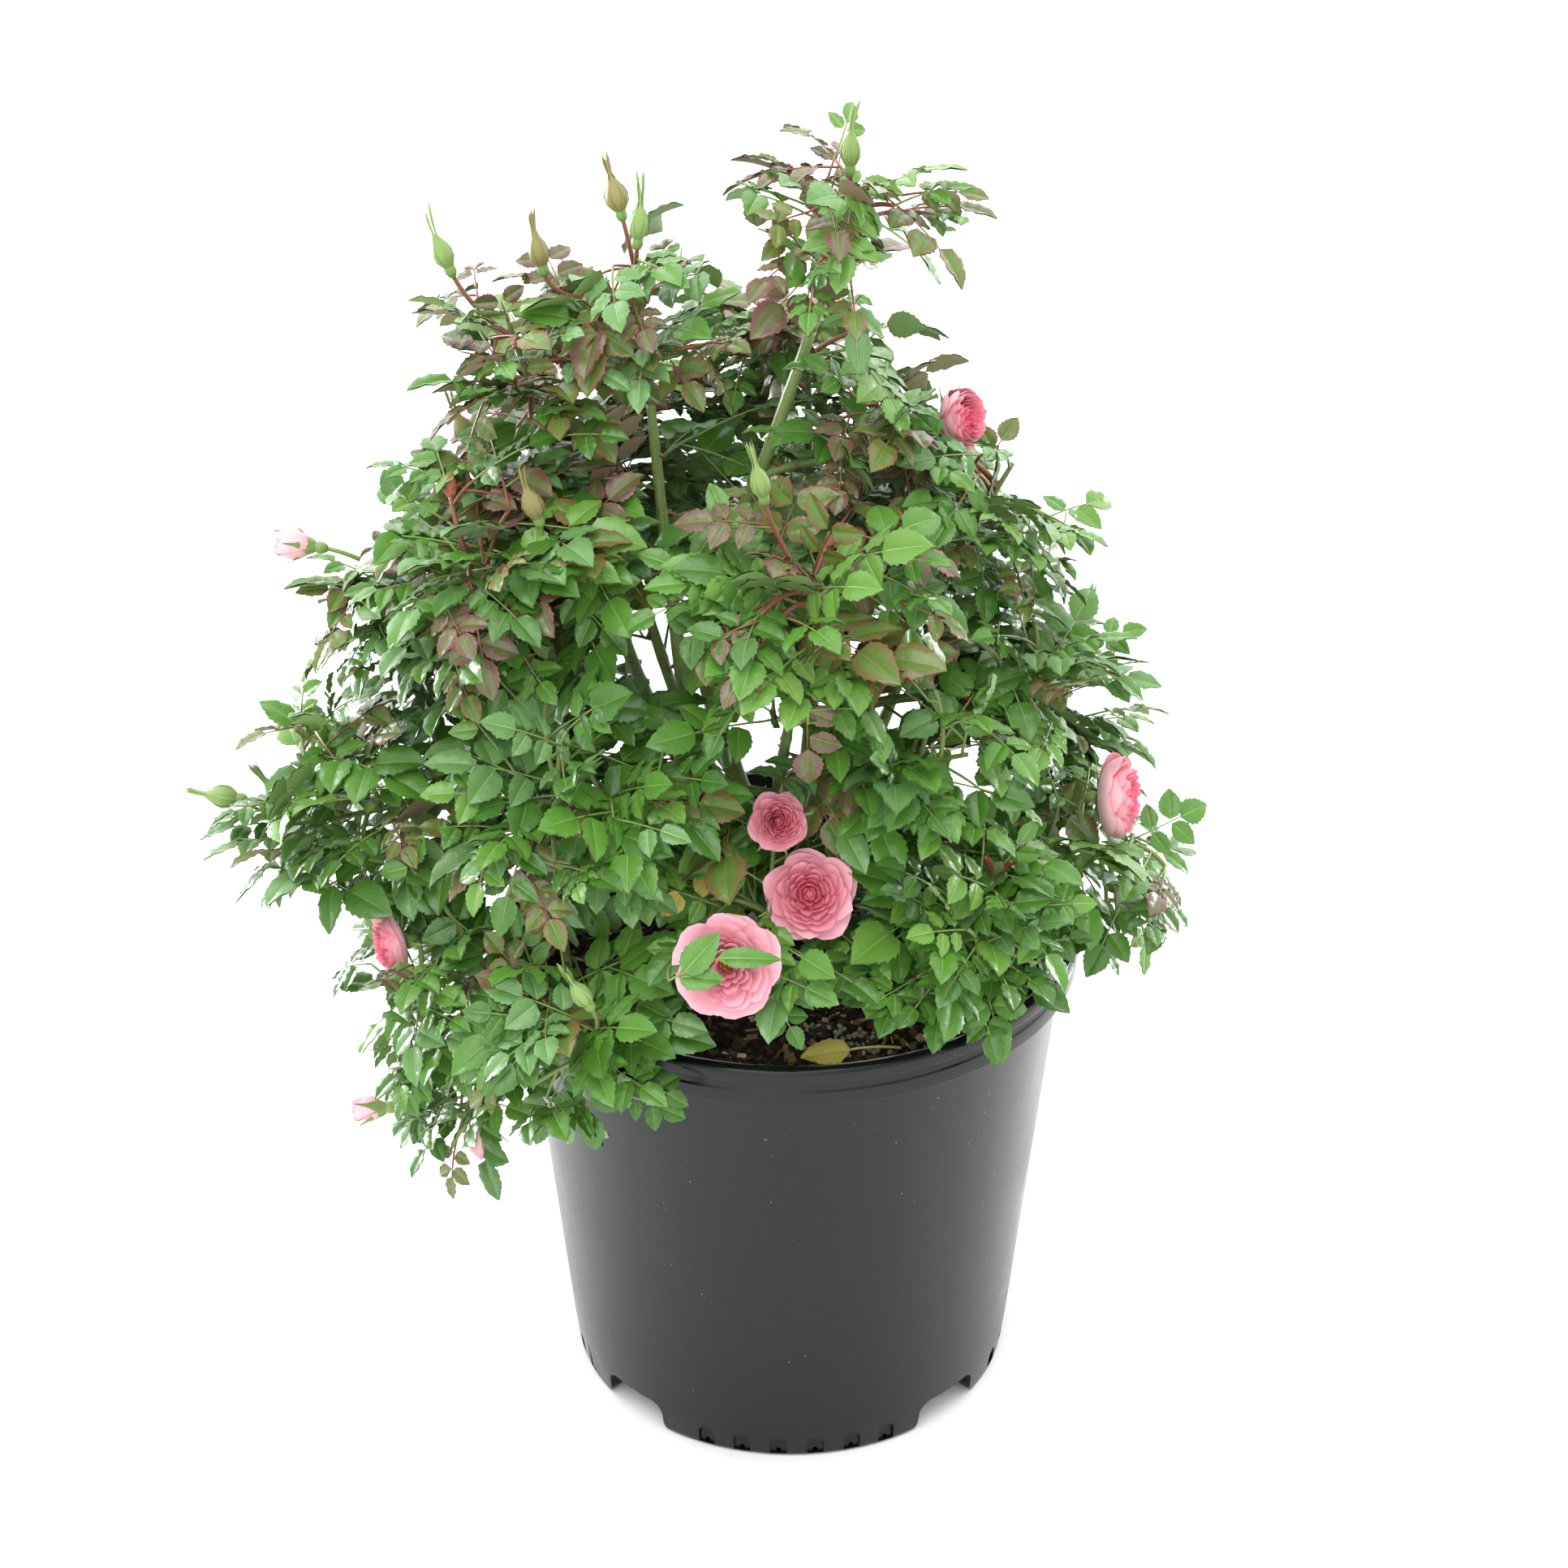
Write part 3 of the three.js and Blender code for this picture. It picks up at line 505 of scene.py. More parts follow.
# Broken bark, chipped by a shredder. Fresh breaks are tan, and the skin of the bark is dark.
BARK_COLOURS = ["#241a12", "#38291b", "#553d29", "#7b5d3d", "#ab8c62", "#cdbd9c"]
BARK_SHARES = [0.34, 0.3, 0.18, 0.1, 0.05, 0.03]
CHIPS = {"count": 5200, "length": (1.6, 6.2), "width": (0.35, 0.85), "depth": (0.2, 0.5)}
grit = np.random.default_rng(7)
BOX_FACES = np.array(
    [[0, 2, 1], [1, 2, 3], [4, 5, 6], [5, 7, 6], [0, 1, 4], [1, 5, 4]]
    + [[2, 6, 3], [3, 6, 7], [0, 4, 2], [2, 4, 6], [1, 3, 5], [3, 7, 5]]
)
BOX_POINTS = np.array([[x, y, z] for z in (-1, 1) for y in (-1, 1) for x in (-1, 1)]) / 2


def quads(a, b, c, d):
    """Two triangles for each four corners."""
    return np.concatenate([np.stack([a, b, c], 1), np.stack([a, c, d], 1)])


def grid_faces(rows, columns, closed=False):
    """Triangles between the rows of a grid of points, whose columns may close to a ring."""
    spans = columns if closed else columns - 1
    i, j = [part.ravel() for part in np.meshgrid(np.arange(rows - 1), np.arange(spans), indexing="ij")]
    here, ahead = i * columns + j, i * columns + (j + 1) % columns
    return quads(here, ahead, ahead + columns, here + columns)


def turned_to(directions, ups):
    """For each direction and rough up, three unit axes: along it, across, and out of its face."""
    along = directions / np.linalg.norm(directions, axis=-1, keepdims=True)
    across = np.cross(ups, along)
    across /= np.linalg.norm(across, axis=-1, keepdims=True)
    return along, across, np.cross(along, across)


def bark_chips():
    count = CHIPS["count"]
    away = MIX_RADIUS * np.sqrt(grit.uniform(0.02, 0.99, count))
    angle = grit.uniform(0, 2 * pi, count)
    x, y = away * np.cos(angle), away * np.sin(angle)
    length = grit.uniform(*CHIPS["length"], count) ** grit.uniform(0.7, 1, count)
    sizes = np.stack([length, length * grit.uniform(*CHIPS["width"], count), length], axis=1)
    sizes[:, 2] *= grit.uniform(*CHIPS["depth"], count)
    thin = grit.random(count) < 0.24  # shreds of bast
    sizes[thin] *= (2.1, 0.25, 0.6)
    headings = np.stack([np.cos(angle * 7), np.sin(angle * 7), grit.uniform(-0.5, 0.5, count)], axis=1)
    ups = np.stack([grit.normal(0, 0.45, count), grit.normal(0, 0.45, count), np.ones(count)], axis=1)
    axes = np.stack(turned_to(headings, ups), axis=1)
    corners = BOX_POINTS + grit.uniform(-0.2, 0.2, (count, 8, 3))
    z = mix_height(x, y) + 0.25 * sizes[:, 2] + grit.uniform(-0.8, 1.0, count)
    centres = np.stack([x, y, z], axis=1)
    reach = np.minimum(1, (MIX_RADIUS - away) / (0.5 * sizes[:, 0]))
    sizes *= np.clip(reach, 0.25, 1)[:, None]
    points = centres[:, None] + np.einsum("nki,nij->nkj", corners * sizes[:, None], axes)
    faces = BOX_FACES[None] + 8 * np.arange(count)[:, None, None]
    kinds = grit.choice(len(BARK_COLOURS), count, p=BARK_SHARES)
    return points.reshape(-1, 3), faces.reshape(-1, 3), np.repeat(kinds, 12)


bark_finishes = [new_finish(f"shredded_bark_{i + 1}", code, 0.85)[0] for i, code in enumerate(BARK_COLOURS)]
chips = joined_mesh("bark_chips", *bark_chips(), bark_finishes, smooth=False)
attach(chips, "root")
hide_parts("potting_mix")

# Beads of slow feed, resin-coated, pressed into the mix in loose drifts, and a few white crumbs of perlite.
BEAD = {
    "radius": (0.9, 1.5),
    "in_drift": 34,
    "drifts": [[22, -92], [30, -98], [70, -70], [-40, 60], [60, 50], [-70, -50]],
}
BALL_ROWS, BALL_SIDES = 5, 8


def ball():
    """A small sphere's points and triangles."""
    rows = [[0, 0, 1]]
    for i in range(1, BALL_ROWS):
        tilt = pi * i / BALL_ROWS
        for j in range(BALL_SIDES):
            turn = 2 * pi * j / BALL_SIDES
            rows.append([sin(tilt) * cos(turn), sin(tilt) * sin(turn), cos(tilt)])
    rows.append([0, 0, -1])
    faces = []
    for j in range(BALL_SIDES):
        ahead = (j + 1) % BALL_SIDES
        faces.append([0, 1 + j, 1 + ahead])
        for i in range(BALL_ROWS - 2):
            here, below = 1 + i * BALL_SIDES, 1 + (i + 1) * BALL_SIDES
            faces += [[here + j, below + j, below + ahead], [here + j, below + ahead, here + ahead]]
        base = 1 + (BALL_ROWS - 2) * BALL_SIDES
        faces.append([len(rows) - 1, base + ahead, base + j])
    return np.array(rows, float), np.array(faces)


BALL_POINTS, BALL_FACES = ball()
beads = Heap()
for drift in BEAD["drifts"]:
    for _ in range(BEAD["in_drift"]):
        x, y = drift + grit.normal(0, 8, 2)
        radius = grit.uniform(*BEAD["radius"])
        white = grit.random() < 0.14
        squeezed = grit.uniform(0.55, 1.2, 3) if white else np.ones(3)
        centre = np.array([x, y, mix_height(x, y) + grit.uniform(0.2, 1.1)])
        if np.hypot(x, y) < MIX_RADIUS - 4:
            beads.add(centre + BALL_POINTS * radius * squeezed, BALL_FACES, int(white))
bead_finishes = [
    new_finish("resin_coated_feed", "#868d7b", 0.5)[0],
    new_finish("perlite", "#d9d6c8", 0.9)[0],
]
feed = beads.piece("feed_beads", bead_finishes)
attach(feed, "root")
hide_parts("potting_mix")

# ---- Root collar, canes and boughs ---------------------------------------------------------------------
# The rose is on its own roots: a woody collar at soil level throws up twelve green canes, which fork into
# boughs. Young bark is smooth and waxy, with leaf scars, brown freckles and hooked prickles.

UP = np.array([0, 0, 1.0])
GROUND = MIX["crown_height"] + 0.3
COLLAR = {"height": 38, "flare_radius": 21, "top_radius": 12, "lean": (-3, 2)}
ENTRY = 0.62  # a limb ends this share of a mass's size short of its middle

# Each mass of foliage: its middle, how far its leaves reach, its cane, and how far along it leaves.
MASSES = {
    "crown_top": ((22, 0, 584), 68, "tall_cane", 1),
    "crown_shoulder_right": ((34, -4, 494), 56, "tall_cane", 0.72),
    "crown_top_left": ((-66, 4, 548), 64, "second_cane", 1),
    "left_shoulder_top": ((-116, -4, 524), 66, "left_cane", 1),
    "left_shoulder": ((-128, -42, 448), 74, "left_cane", 0.6),
    "left_flank": ((-172, 22, 400), 68, "far_left_cane", 1),
    "left_skirt": ((-206, -6, 306), 74, "far_left_cane", 0.58),
    "right_shoulder": ((90, 14, 456), 64, "right_cane", 1),
    "right_flank": ((106, -20, 378), 62, "right_cane", 0.62),
    "right_skirt": ((146, -14, 290), 66, "low_right_cane", 1),
    "front_right_skirt": ((76, -88, 290), 66, "low_right_cane", 0.45),
    "front_crown": ((6, -78, 440), 76, "front_cane", 1),
    "front_left_middle": ((-94, -80, 354), 78, "front_cane", 0.52),
    "front_right_middle": ((60, -74, 372), 62, "front_cane", 0.66),
    "front_skirt": ((-10, -104, 308), 66, "low_front_cane", 1),
    "front_left_skirt": ((-94, -128, 262), 62, "low_left_cane", 0.62),
    "left_low_skirt": ((-168, -66, 254), 70, "low_left_cane", 1),
    "left_hanging_shoot": ((-152, -66, 178), 50, "low_left_cane", 0.86),
    "back_crown": ((8, 84, 490), 76, "back_cane", 1),
    "back_left_middle": ((-92, 88, 440), 78, "back_left_cane", 1),
    "back_left_skirt": ((-138, 98, 328), 76, "back_left_cane", 0.5),
    "back_right_middle": ((78, 90, 402), 68, "back_right_cane", 1),
    "back_right_skirt": ((124, 84, 302), 62, "back_right_cane", 0.48),
    "back_middle": ((-6, 118, 384), 70, "back_cane", 0.55),
}
MASSES = {
    name: {"centre": np.array(at, float), "size": size, "cane": cane, "from": start}
    for name, (at, size, cane, start) in MASSES.items()
}

# Each cane: where it leaves the collar, where it turns on its way up, and its radius at foot and tip.
CANES = {
    "tall_cane": ((-6, 3), [(-35, 6, 350), (-40, 4, 405), (-12, 0, 482)], (5.2, 2.4)),
    "second_cane": ((-9, -3), [(-44, -6, 345), (-56, 2, 430)], (4.6, 2.1)),
    "left_cane": ((-11, 6), [(-58, 10, 335), (-88, -4, 430)], (4.4, 2)),
    "far_left_cane": ((-12, -7), [(-84, 8, 318)], (4.2, 2)),
    "right_cane": ((4, -2), [(20, -8, 340)], (5.4, 2.2)),
    "low_right_cane": ((7, -7), [(50, -28, 296)], (3.8, 2)),
    "front_cane": ((-2, -9), [(-6, -38, 330)], (4.4, 2)),
    "low_front_cane": ((0, -13), [(-8, -42, 268)], (3.2, 1.8)),
    "low_left_cane": ((-9, -12), [(-62, -52, 288), (-112, -72, 282)], (4.2, 2)),
    "back_cane": ((2, 9), [(10, 42, 340)], (4.6, 2.1)),
    "back_left_cane": ((-7, 11), [(-50, 50, 322)], (4.4, 2)),
    "back_right_cane": ((8, 7), [(42, 46, 318)], (4.4, 2)),
}
BOUGH_RADIUS = (2.6, 1.9)
SAMPLES = 120  # along a path


def unit(vector):
    return vector / np.linalg.norm(vector)


def through(stops):
    """A smooth path through its stops."""
    stops = [np.asarray(stop, float) for stop in stops]
    stops = [2 * stops[0] - stops[1], *stops, 2 * stops[-1] - stops[-2]]
    spans = len(stops) - 3
    path = []
    for t in np.linspace(0, spans, SAMPLES + 1):
        span = min(int(t), spans - 1)
        t -= span
        a, b, c, d = stops[span : span + 4]
        leave, arrive = (c - a) / 2, (d - b) / 2
        squared, cubed = 3 * (c - b) - 2 * leave - arrive, 2 * (b - c) + leave + arrive
        path.append(b + leave * t + squared * t**2 + cubed * t**3)
    return np.array(path)


def bow(start, bend, end, samples=24):
    """A path that leaves its start towards the bend and reaches its end from it."""
    t = np.linspace(0, 1, samples + 1)[:, None]
    return (1 - t) ** 2 * start + 2 * t * (1 - t) * bend + t**2 * end


def path_length(path):
    return np.linalg.norm(np.diff(path, axis=0), axis=1).sum()


def along(path, shares):
    """The points at these shares of a path's length."""
    run = np.concatenate([[0], np.cumsum(np.linalg.norm(np.diff(path, axis=0), axis=1))])
    return np.stack([np.interp(np.asarray(shares) * run[-1], run, path[:, i]) for i in range(3)], axis=-1)


def heading(path, share):
    ends = along(path, [max(share - 0.02, 0), min(share + 0.02, 1)])
    return unit(ends[1] - ends[0])


def entry_to(mass, start):
    return mass["centre"] + unit(start - mass["centre"]) * mass["size"] * ENTRY


cane_paths = {}
for name, (foot, knees, _) in CANES.items():
    mass = next(m for m in MASSES.values() if m["cane"] == name and m["from"] == 1)
    start = np.array([*foot, GROUND + COLLAR["height"] * 0.45])
    cane_paths[name] = through([start, *knees, entry_to(mass, np.array(knees[-1], float))])

bough_paths = {}
for name, mass in MASSES.items():
    path = cane_paths[mass["cane"]]
    if mass["from"] < 1:
        start = path[round(mass["from"] * SAMPLES)]
        end = entry_to(mass, start)
        bend = (start + end) / 2 + UP * 0.12 * np.linalg.norm(end - start)
        path = bough_paths[name] = bow(start, bend, end)
    mass["limb"] = path
    mass["limb_radius"] = CANES[mass["cane"]][2][1] if mass["from"] == 1 else BOUGH_RADIUS[1]


def tube(path, radii, sides):
    """A closed tube: points and triangles. radii has one value for each point of the path."""
    count = len(path)
    ahead = np.gradient(path, axis=0)
    ahead /= np.linalg.norm(ahead, axis=1, keepdims=True)
    across = np.empty_like(ahead)
    last = np.eye(3)[np.argmin(np.abs(ahead[0]))]
    for i in range(count):
        last = unit(last - ahead[i] * (last @ ahead[i]))
        across[i] = last
    over = np.cross(ahead, across)
    turn = 2 * pi * np.arange(sides) / sides
    ring = across[:, None] * np.cos(turn)[:, None] + over[:, None] * np.sin(turn)[:, None]
    radii = np.broadcast_to(radii, (count,) if np.ndim(radii) < 2 else (count, sides))
    radii = radii[:, None, None] if radii.ndim == 1 else radii[:, :, None]
    points = (path[:, None] + ring * radii).reshape(-1, 3)
    walls = grid_faces(count, sides, closed=True)
    first, top = len(points), (count - 1) * sides
    points = np.concatenate([points, path[:1], path[-1:]])
    j = np.arange(sides)
    ahead_j = (j + 1) % sides
    foot = np.stack([np.full(sides, first), ahead_j, j], 1)
    tip = np.stack([np.full(sides, first + 1), top + j, top + ahead_j], 1)
    return points, np.concatenate([walls, foot, tip])


PRICKLE = {"length": 4.6, "base": 2.6, "every": 19}


def prickle(root, outward, downward, size):
    """A hooked prickle: broad along the cane at its base and bent down at its point."""
    length, base = PRICKLE["length"] * size, PRICKLE["base"] * size
    aside = np.cross(outward, downward)
    rings = []
    for share, wide in ((-0.12, 1), (0.3, 0.55), (0.7, 0.24)):
        middle = root + outward * length * share + downward * length * 0.45 * max(share, 0) ** 2
        for turn in np.arange(4) * pi / 2:
            rings.append(middle + downward * base * wide * cos(turn) + aside * base * 0.4 * wide * sin(turn))
    rings.append(root + outward * length + downward * length * 0.5)
    faces = []
    for ring in (0, 4):
        for j in range(4):
            k = (j + 1) % 4
            faces += [[ring + j, ring + k, ring + 4 + k], [ring + j, ring + 4 + k, ring + 4 + j]]
    faces += [[8 + j, 8 + (j + 1) % 4, 12] for j in range(4)]
    faces = np.array(faces)
    middle = np.mean(rings, axis=0)
    corners = np.array(rings)[faces]
    normal = np.cross(corners[:, 1] - corners[:, 0], corners[:, 2] - corners[:, 0])
    inward = np.einsum("ni,ni->n", normal, corners.mean(axis=1) - middle) < 0
    faces[inward] = faces[inward][:, ::-1]
    return np.array(rings), faces


bark = np.random.default_rng(3)


def limb(heap, path, radii, sides, relief):
    """A cane or bough with the bark's relief: swollen leaf scars, shallow ribs and prickles."""
    length = path_length(path)
    steps = max(int(length / 2.2), 8)
    shares = np.linspace(0, 1, steps + 1)
    spine = along(path, shares)
    radius = np.interp(shares, [0, 1], radii)
    phase = bark.uniform(0, 2 * pi, 3)
    turn = 2 * pi * np.arange(sides) / sides
    run = shares * length
    ribs = 0.035 * np.sin(3 * turn + phase[0] + run[:, None] * 0.021) + 0.02 * np.sin(
        5 * turn + phase[1] - run[:, None] * 0.09
    )
    wander = 0.03 * np.sin(run * 0.13 + phase[2])[:, None]
    scars = np.zeros((steps + 1, sides))
    scar = bark.uniform(8, 20)
    while scar < length:
        side = bark.uniform(0, 2 * pi)
        swelling = np.exp(-(((run - scar) / 2.2) ** 2))[:, None]
        scars += swelling * (0.07 + 0.12 * np.exp(np.cos(turn - side) * 3 - 3))
        scar += bark.uniform(16, 30)
    heap.add(*tube(spine, radius[:, None] * (1 + relief * (ribs + wander + scars)), sides), 0)
    hook = bark.uniform(6, 18)
    while hook < length - 6:
        share = hook / length
        way = heading(path, share)
        side = unit(np.cross(way, bark.normal(0, 1, 3)))
        size = bark.uniform(0.6, 1.1) * (0.6 + 0.15 * np.interp(share, [0, 1], radii))
        root = along(path, [share])[0] + side * np.interp(share, [0, 1], radii) * 0.9
        heap.add(*prickle(root, side, -way, min(size, 1.15)), 1)
        hook += bark.uniform(0.6, 1.5) * PRICKLE["every"]


def collar(heap):
    """The woody collar, with the stubs of two canes that were cut off."""
    profile = [(1.0, 0), (0.93, 1.5), (0.8, 5), (0.66, 10), (0.6, 14), (0.575, 20), (0.57, 27), (0.5, 32)]
    profile += [(0.43, 35), (0.25, 37.2), (0.02, COLLAR["height"])]
    sides = 48
    turn = 2 * pi * np.arange(sides) / sides
    spine, radii = [], []
    for share, z in profile:
        up = z / COLLAR["height"]
        root = 1 + 0.12 * np.cos(5 * turn) * (1 - up)
        furrow = 1 + 0.035 * np.sin(11 * turn + z * 0.2) + 0.02 * np.sin(23 * turn - z * 0.4)
        spine.append((COLLAR["lean"][0] * up, COLLAR["lean"][1] * up, GROUND + z))
        radii.append(share * COLLAR["flare_radius"] * root * furrow)
    fine = np.linspace(0, len(profile) - 1, 40)
    spine = np.stack([np.interp(fine, range(len(profile)), np.array(spine)[:, i]) for i in range(3)], axis=1)
    radii = np.array(radii)
    radii = np.stack([np.interp(fine, range(len(profile)), radii[:, j]) for j in range(sides)], axis=1)
    heap.add(*tube(spine, radii, sides))
    for start, end, radius in (((3, -6, 262), (9, -13, 281), 4.4), ((-8, 6, 262), (-15, 13, 276), 3.8)):
        path = bow(np.array(start, float), (np.array(start) + end) / 2.0, np.array(end, float), 8)
        heap.add(*tube(path, np.linspace(radius, radius * 0.9, 9), 14))


# Old rose wood: grey-brown bark with long fissures.
woody, tree, shader = new_finish("old_rose_bark", "#6b5a3c", 0.85)
place = add_node(tree, "ShaderNodeTexCoord").outputs["Object"]
stretched = add_node(tree, "ShaderNodeMapping", {"Vector": place, "Scale": (1, 1, 0.22)})
fissure = add_node(
    tree,
    "ShaderNodeTexNoise",
    {"Vector": stretched.outputs["Vector"], "Scale": 330, "Detail": 8, "Roughness": 0.65},
)
wood = blend(tree, fissure.outputs["Fac"], "#3b2d1c", "#96815a")
tree.links.new(wood, shader.inputs["Base Color"])
tree.links.new(bump(tree, fissure.outputs["Fac"], 0.8, 1), shader.inputs["Normal"])

# Green rose cane: smooth and waxy, mottled, browner and freckled towards the foot.
cane_green, tree, shader = new_finish("green_cane_bark", "#768e4c", 0.45)
place = add_node(tree, "ShaderNodeTexCoord").outputs["Object"]
mottle = add_node(tree, "ShaderNodeTexNoise", {"Vector": place, "Scale": 90, "Detail": 4, "Roughness": 0.6})
skin = blend(tree, mottle.outputs["Fac"], "#5c7a3c", "#97a862")
height = add_node(tree, "ShaderNodeSeparateXYZ", {"Vector": place}).outputs["Z"]
browned = blend(tree, ramp(tree, height, 0.24, 0.30, 0.6, 0.0), skin, "#5c4a2b")
freckle = add_node(tree, "ShaderNodeTexVoronoi", {"Vector": place, "Scale": 520})
freckle_at = ramp(tree, freckle.outputs["Distance"], 0.12, 0.24, 0.55, 0)
freckled = blend(tree, freckle_at, browned, "#4b3a1e")
tree.links.new(freckled, shader.inputs["Base Color"])
tree.links.new(bump(tree, mottle.outputs["Fac"], 0.35, 0.5), shader.inputs["Normal"])
horn = new_finish("prickle_horn", "#8c5f3c", 0.45)[0]

stump = Heap()
collar(stump)
stump = stump.piece("root_collar_bark", [woody])
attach(stump, "root")
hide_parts("root_collar")

canes = Heap()
for name, path in cane_paths.items():
    limb(canes, path, CANES[name][2], 14, 1)
canes = canes.piece("cane_bark", [cane_green, horn])
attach(canes, "root")
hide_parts(*cane_paths)

boughs = Heap()
for path in bough_paths.values():
    limb(boughs, path, BOUGH_RADIUS, 10, 0.8)
boughs = boughs.piece("bough_bark", [cane_green, horn])
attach(boughs, "root")
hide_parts(*[f"{name}_bough" for name in bough_paths])

# ---- Blooms and buds -----------------------------------------------------------------------------------
# Small double roses: five guard petals, then ring within ring of shorter ones that stand round a deep pink
# heart, on a green hip with five long sepals. Buds are plump, with the sepals drawn out to threads.

# Each flower: its middle, the way it opens, how open it is, from 0, a green bud, to 1, and its width.
FLOWERS = [
    ((-6, -90, 348), (0.05, -0.85, 0.42), 0.85, 27),
    ((8, -98, 315), (0, -0.85, 0.5), 0.95, 40),
    ((-28, -143, 306), (-0.1, -0.9, 0.42), 1, 47),
    ((149, -12, 316), (0.97, -0.22, 0.12), 0.78, 42),
    ((74, 27, 491), (0.75, -0.5, 0.25), 0.75, 31),
    ((-182, -60, 265), (-0.8, -0.4, -0.05), 0.85, 32),
    ((-224, 20, 431), (-0.95, 0, 0.15), 0.35, 17),
    ((-197, -62, 174), (-0.95, 0, -0.1), 0.32, 14),
    ((-146, -72, 169), (0, -0.2, -0.95), 0.4, 17),
    ((-60, 176, 372), (-0.2, 0.95, 0.3), 1, 42),
    ((84, 152, 394), (0.3, 0.9, 0.35), 0.9, 40),
    ((16, 148, 488), (0, 0.8, 0.5), 0.85, 36),
    ((-158, 168, 300), (-0.5, 0.8, 0.1), 0.6, 28),
    ((25, 0, 628), (0, 0, 1), 0, 11),
    ((-76, 0, 608), (-0.25, 0, 1), 0.1, 11),
    ((-65, -10, 599), (0.1, 0, 1), 0, 11),
    ((-152, 0, 582), (-0.35, 0, 0.9), 0, 11),
    ((-110, 0, 583), (-0.2, 0, 1), 0, 11),
    ((-146, -6, 502), (-0.35, 0, 0.9), 0, 11),
    ((-112, -64, 492), (-0.3, -0.1, 1), 0.05, 11),
    ((-160, 34, 447), (-0.2, 0.1, 1), 0.1, 11),
    ((-272, 2, 309), (-0.98, 0, 0.12), 0.15, 11),
    ((-245, 2, 313), (-0.6, 0, 0.8), 0, 11),
    ((-92, -160, 304), (-0.4, -0.3, 0.9), 0, 11),
    ((-14, -86, 512), (-0.2, -0.2, 1), 0, 11),
    ((142, 110, 350), (0.6, 0.4, 0.8), 0, 11),
]
FLOWERS = [
    {"at": np.array(at, float), "faces": unit(np.array(faces, float)), "open": opened, "width": width}
    for at, faces, opened, width in FLOWERS
]
BLOOM_DEPTH = {"shut": 22, "flattens": 6}
BUD_LENGTH = 27
OPENING = 0.2  # at most this far open, a flower is a bud
# Rings of petals from the outside in: how many, and the radius and height of the ring's rim, in a full
# bloom and in one that has only begun to open.
PETAL_RINGS = [
    (5, (25, 4), (8.2, 16)),
    (6, (23, 8.5), (8, 18)),
    (7, (20, 12), (7.4, 19)),
    (8, (16.8, 14.5), (6.6, 19.3)),
    (8, (13.6, 16.2), (5.8, 19.2)),
    (8, (10.6, 17), (4.9, 19)),
    (7, (7.8, 17.3), (4, 18.6)),
    (6, (5.3, 17), (3.1, 18)),
    (4, (3.1, 16.2), (2.1, 17.4)),
]
FRESH_TONES, FADED_TONES = (0, 0, 1, 1, 2, 2, 3, 3, 3), (0, 0, 0, 0, 1, 1, 1, 2, 2)
petal_dice = np.random.default_rng(11)
GOLDEN = pi * (3 - sqrt(5))

for flower in FLOWERS:
    if flower["open"] > OPENING:
        spread = max((flower["open"] - 0.25) / 0.75, 0) ** 1.4
        (wide, _), (shut, _) = PETAL_RINGS[0][1:]
        flower["spread"] = spread
        flower["scale"] = flower["width"] / 2 / (shut + (wide - shut) * spread)
        flower["depth"] = (BLOOM_DEPTH["shut"] - BLOOM_DEPTH["flattens"] * flower["open"]) * flower["scale"]
    else:
        flower["depth"] = BUD_LENGTH


def calyx(flower):
    """Where the stalk joins."""
    return flower["at"] - flower["faces"] * 0.42 * flower["depth"]


PETAL_ROWS, PETAL_COLUMNS = 8, 9
PETAL_FACES = grid_faces(PETAL_ROWS, PETAL_COLUMNS)


def petal(turn, count, rim, height, opened, pointed):
    """One petal in the flower's own frame, where +Z is the way it opens: a sector of a cup, with a rounded,
    rolled and frilled rim. Its one edge tucks in under its neighbour and the other laps over."""
    up, side = np.linspace(0, 1, PETAL_ROWS)[:, None], np.linspace(-1, 1, PETAL_COLUMNS)[None]
    point = 0.2 * pointed * (1 - np.abs(side)) ** 2 - 0.05 * (1 - pointed) * np.exp(-((side / 0.2) ** 2))
    run = up * (1 - 0.2 * np.abs(side) ** 2.6 + point * up**3)
    steep = 2.3 - 0.9 * opened
    out = 1 - np.maximum(1 - run, 0) ** steep
    rolled = (0.07 + 0.26 * max(1 - rim / 14, 0)) * opened
    radius = 0.9 + (rim - 0.9) * (out - 0.2 * (1 - opened) * run**4 + rolled * run**7)
    rise = height * (run ** (1.1 + 0.9 * opened) - (0.06 + 0.6 * rolled) * opened * run**8)
    phase = petal_dice.uniform(0, 2 * pi, 2)
    frill = petal_dice.uniform(0.3, 0.9) * up**3 * min(rim / 12, 1)
    radius = radius * (1 - 0.08 * side**2 + (0.045 + 0.05 * (1 - opened)) * side)
    radius = radius + frill * np.sin(3.4 * side + phase[0])
    rise = rise + frill * np.sin(4.6 * side + phase[1])
    angle = turn + pi / count * 1.5 * side * (1 - 0.2 * up**4)
    return np.stack([radius * np.cos(angle), radius * np.sin(angle), rise], axis=-1).reshape(-1, 3)


def frame_of(way, spin=0.0):
    """Axes whose third one is the way given."""
    side = unit(np.cross(way, UP if abs(way[2]) < 0.9 else np.array([1.0, 0, 0])))
    over = np.cross(way, side)
    turned = cos(spin) * side + sin(spin) * over
    return np.stack([turned, np.cross(way, turned), way])


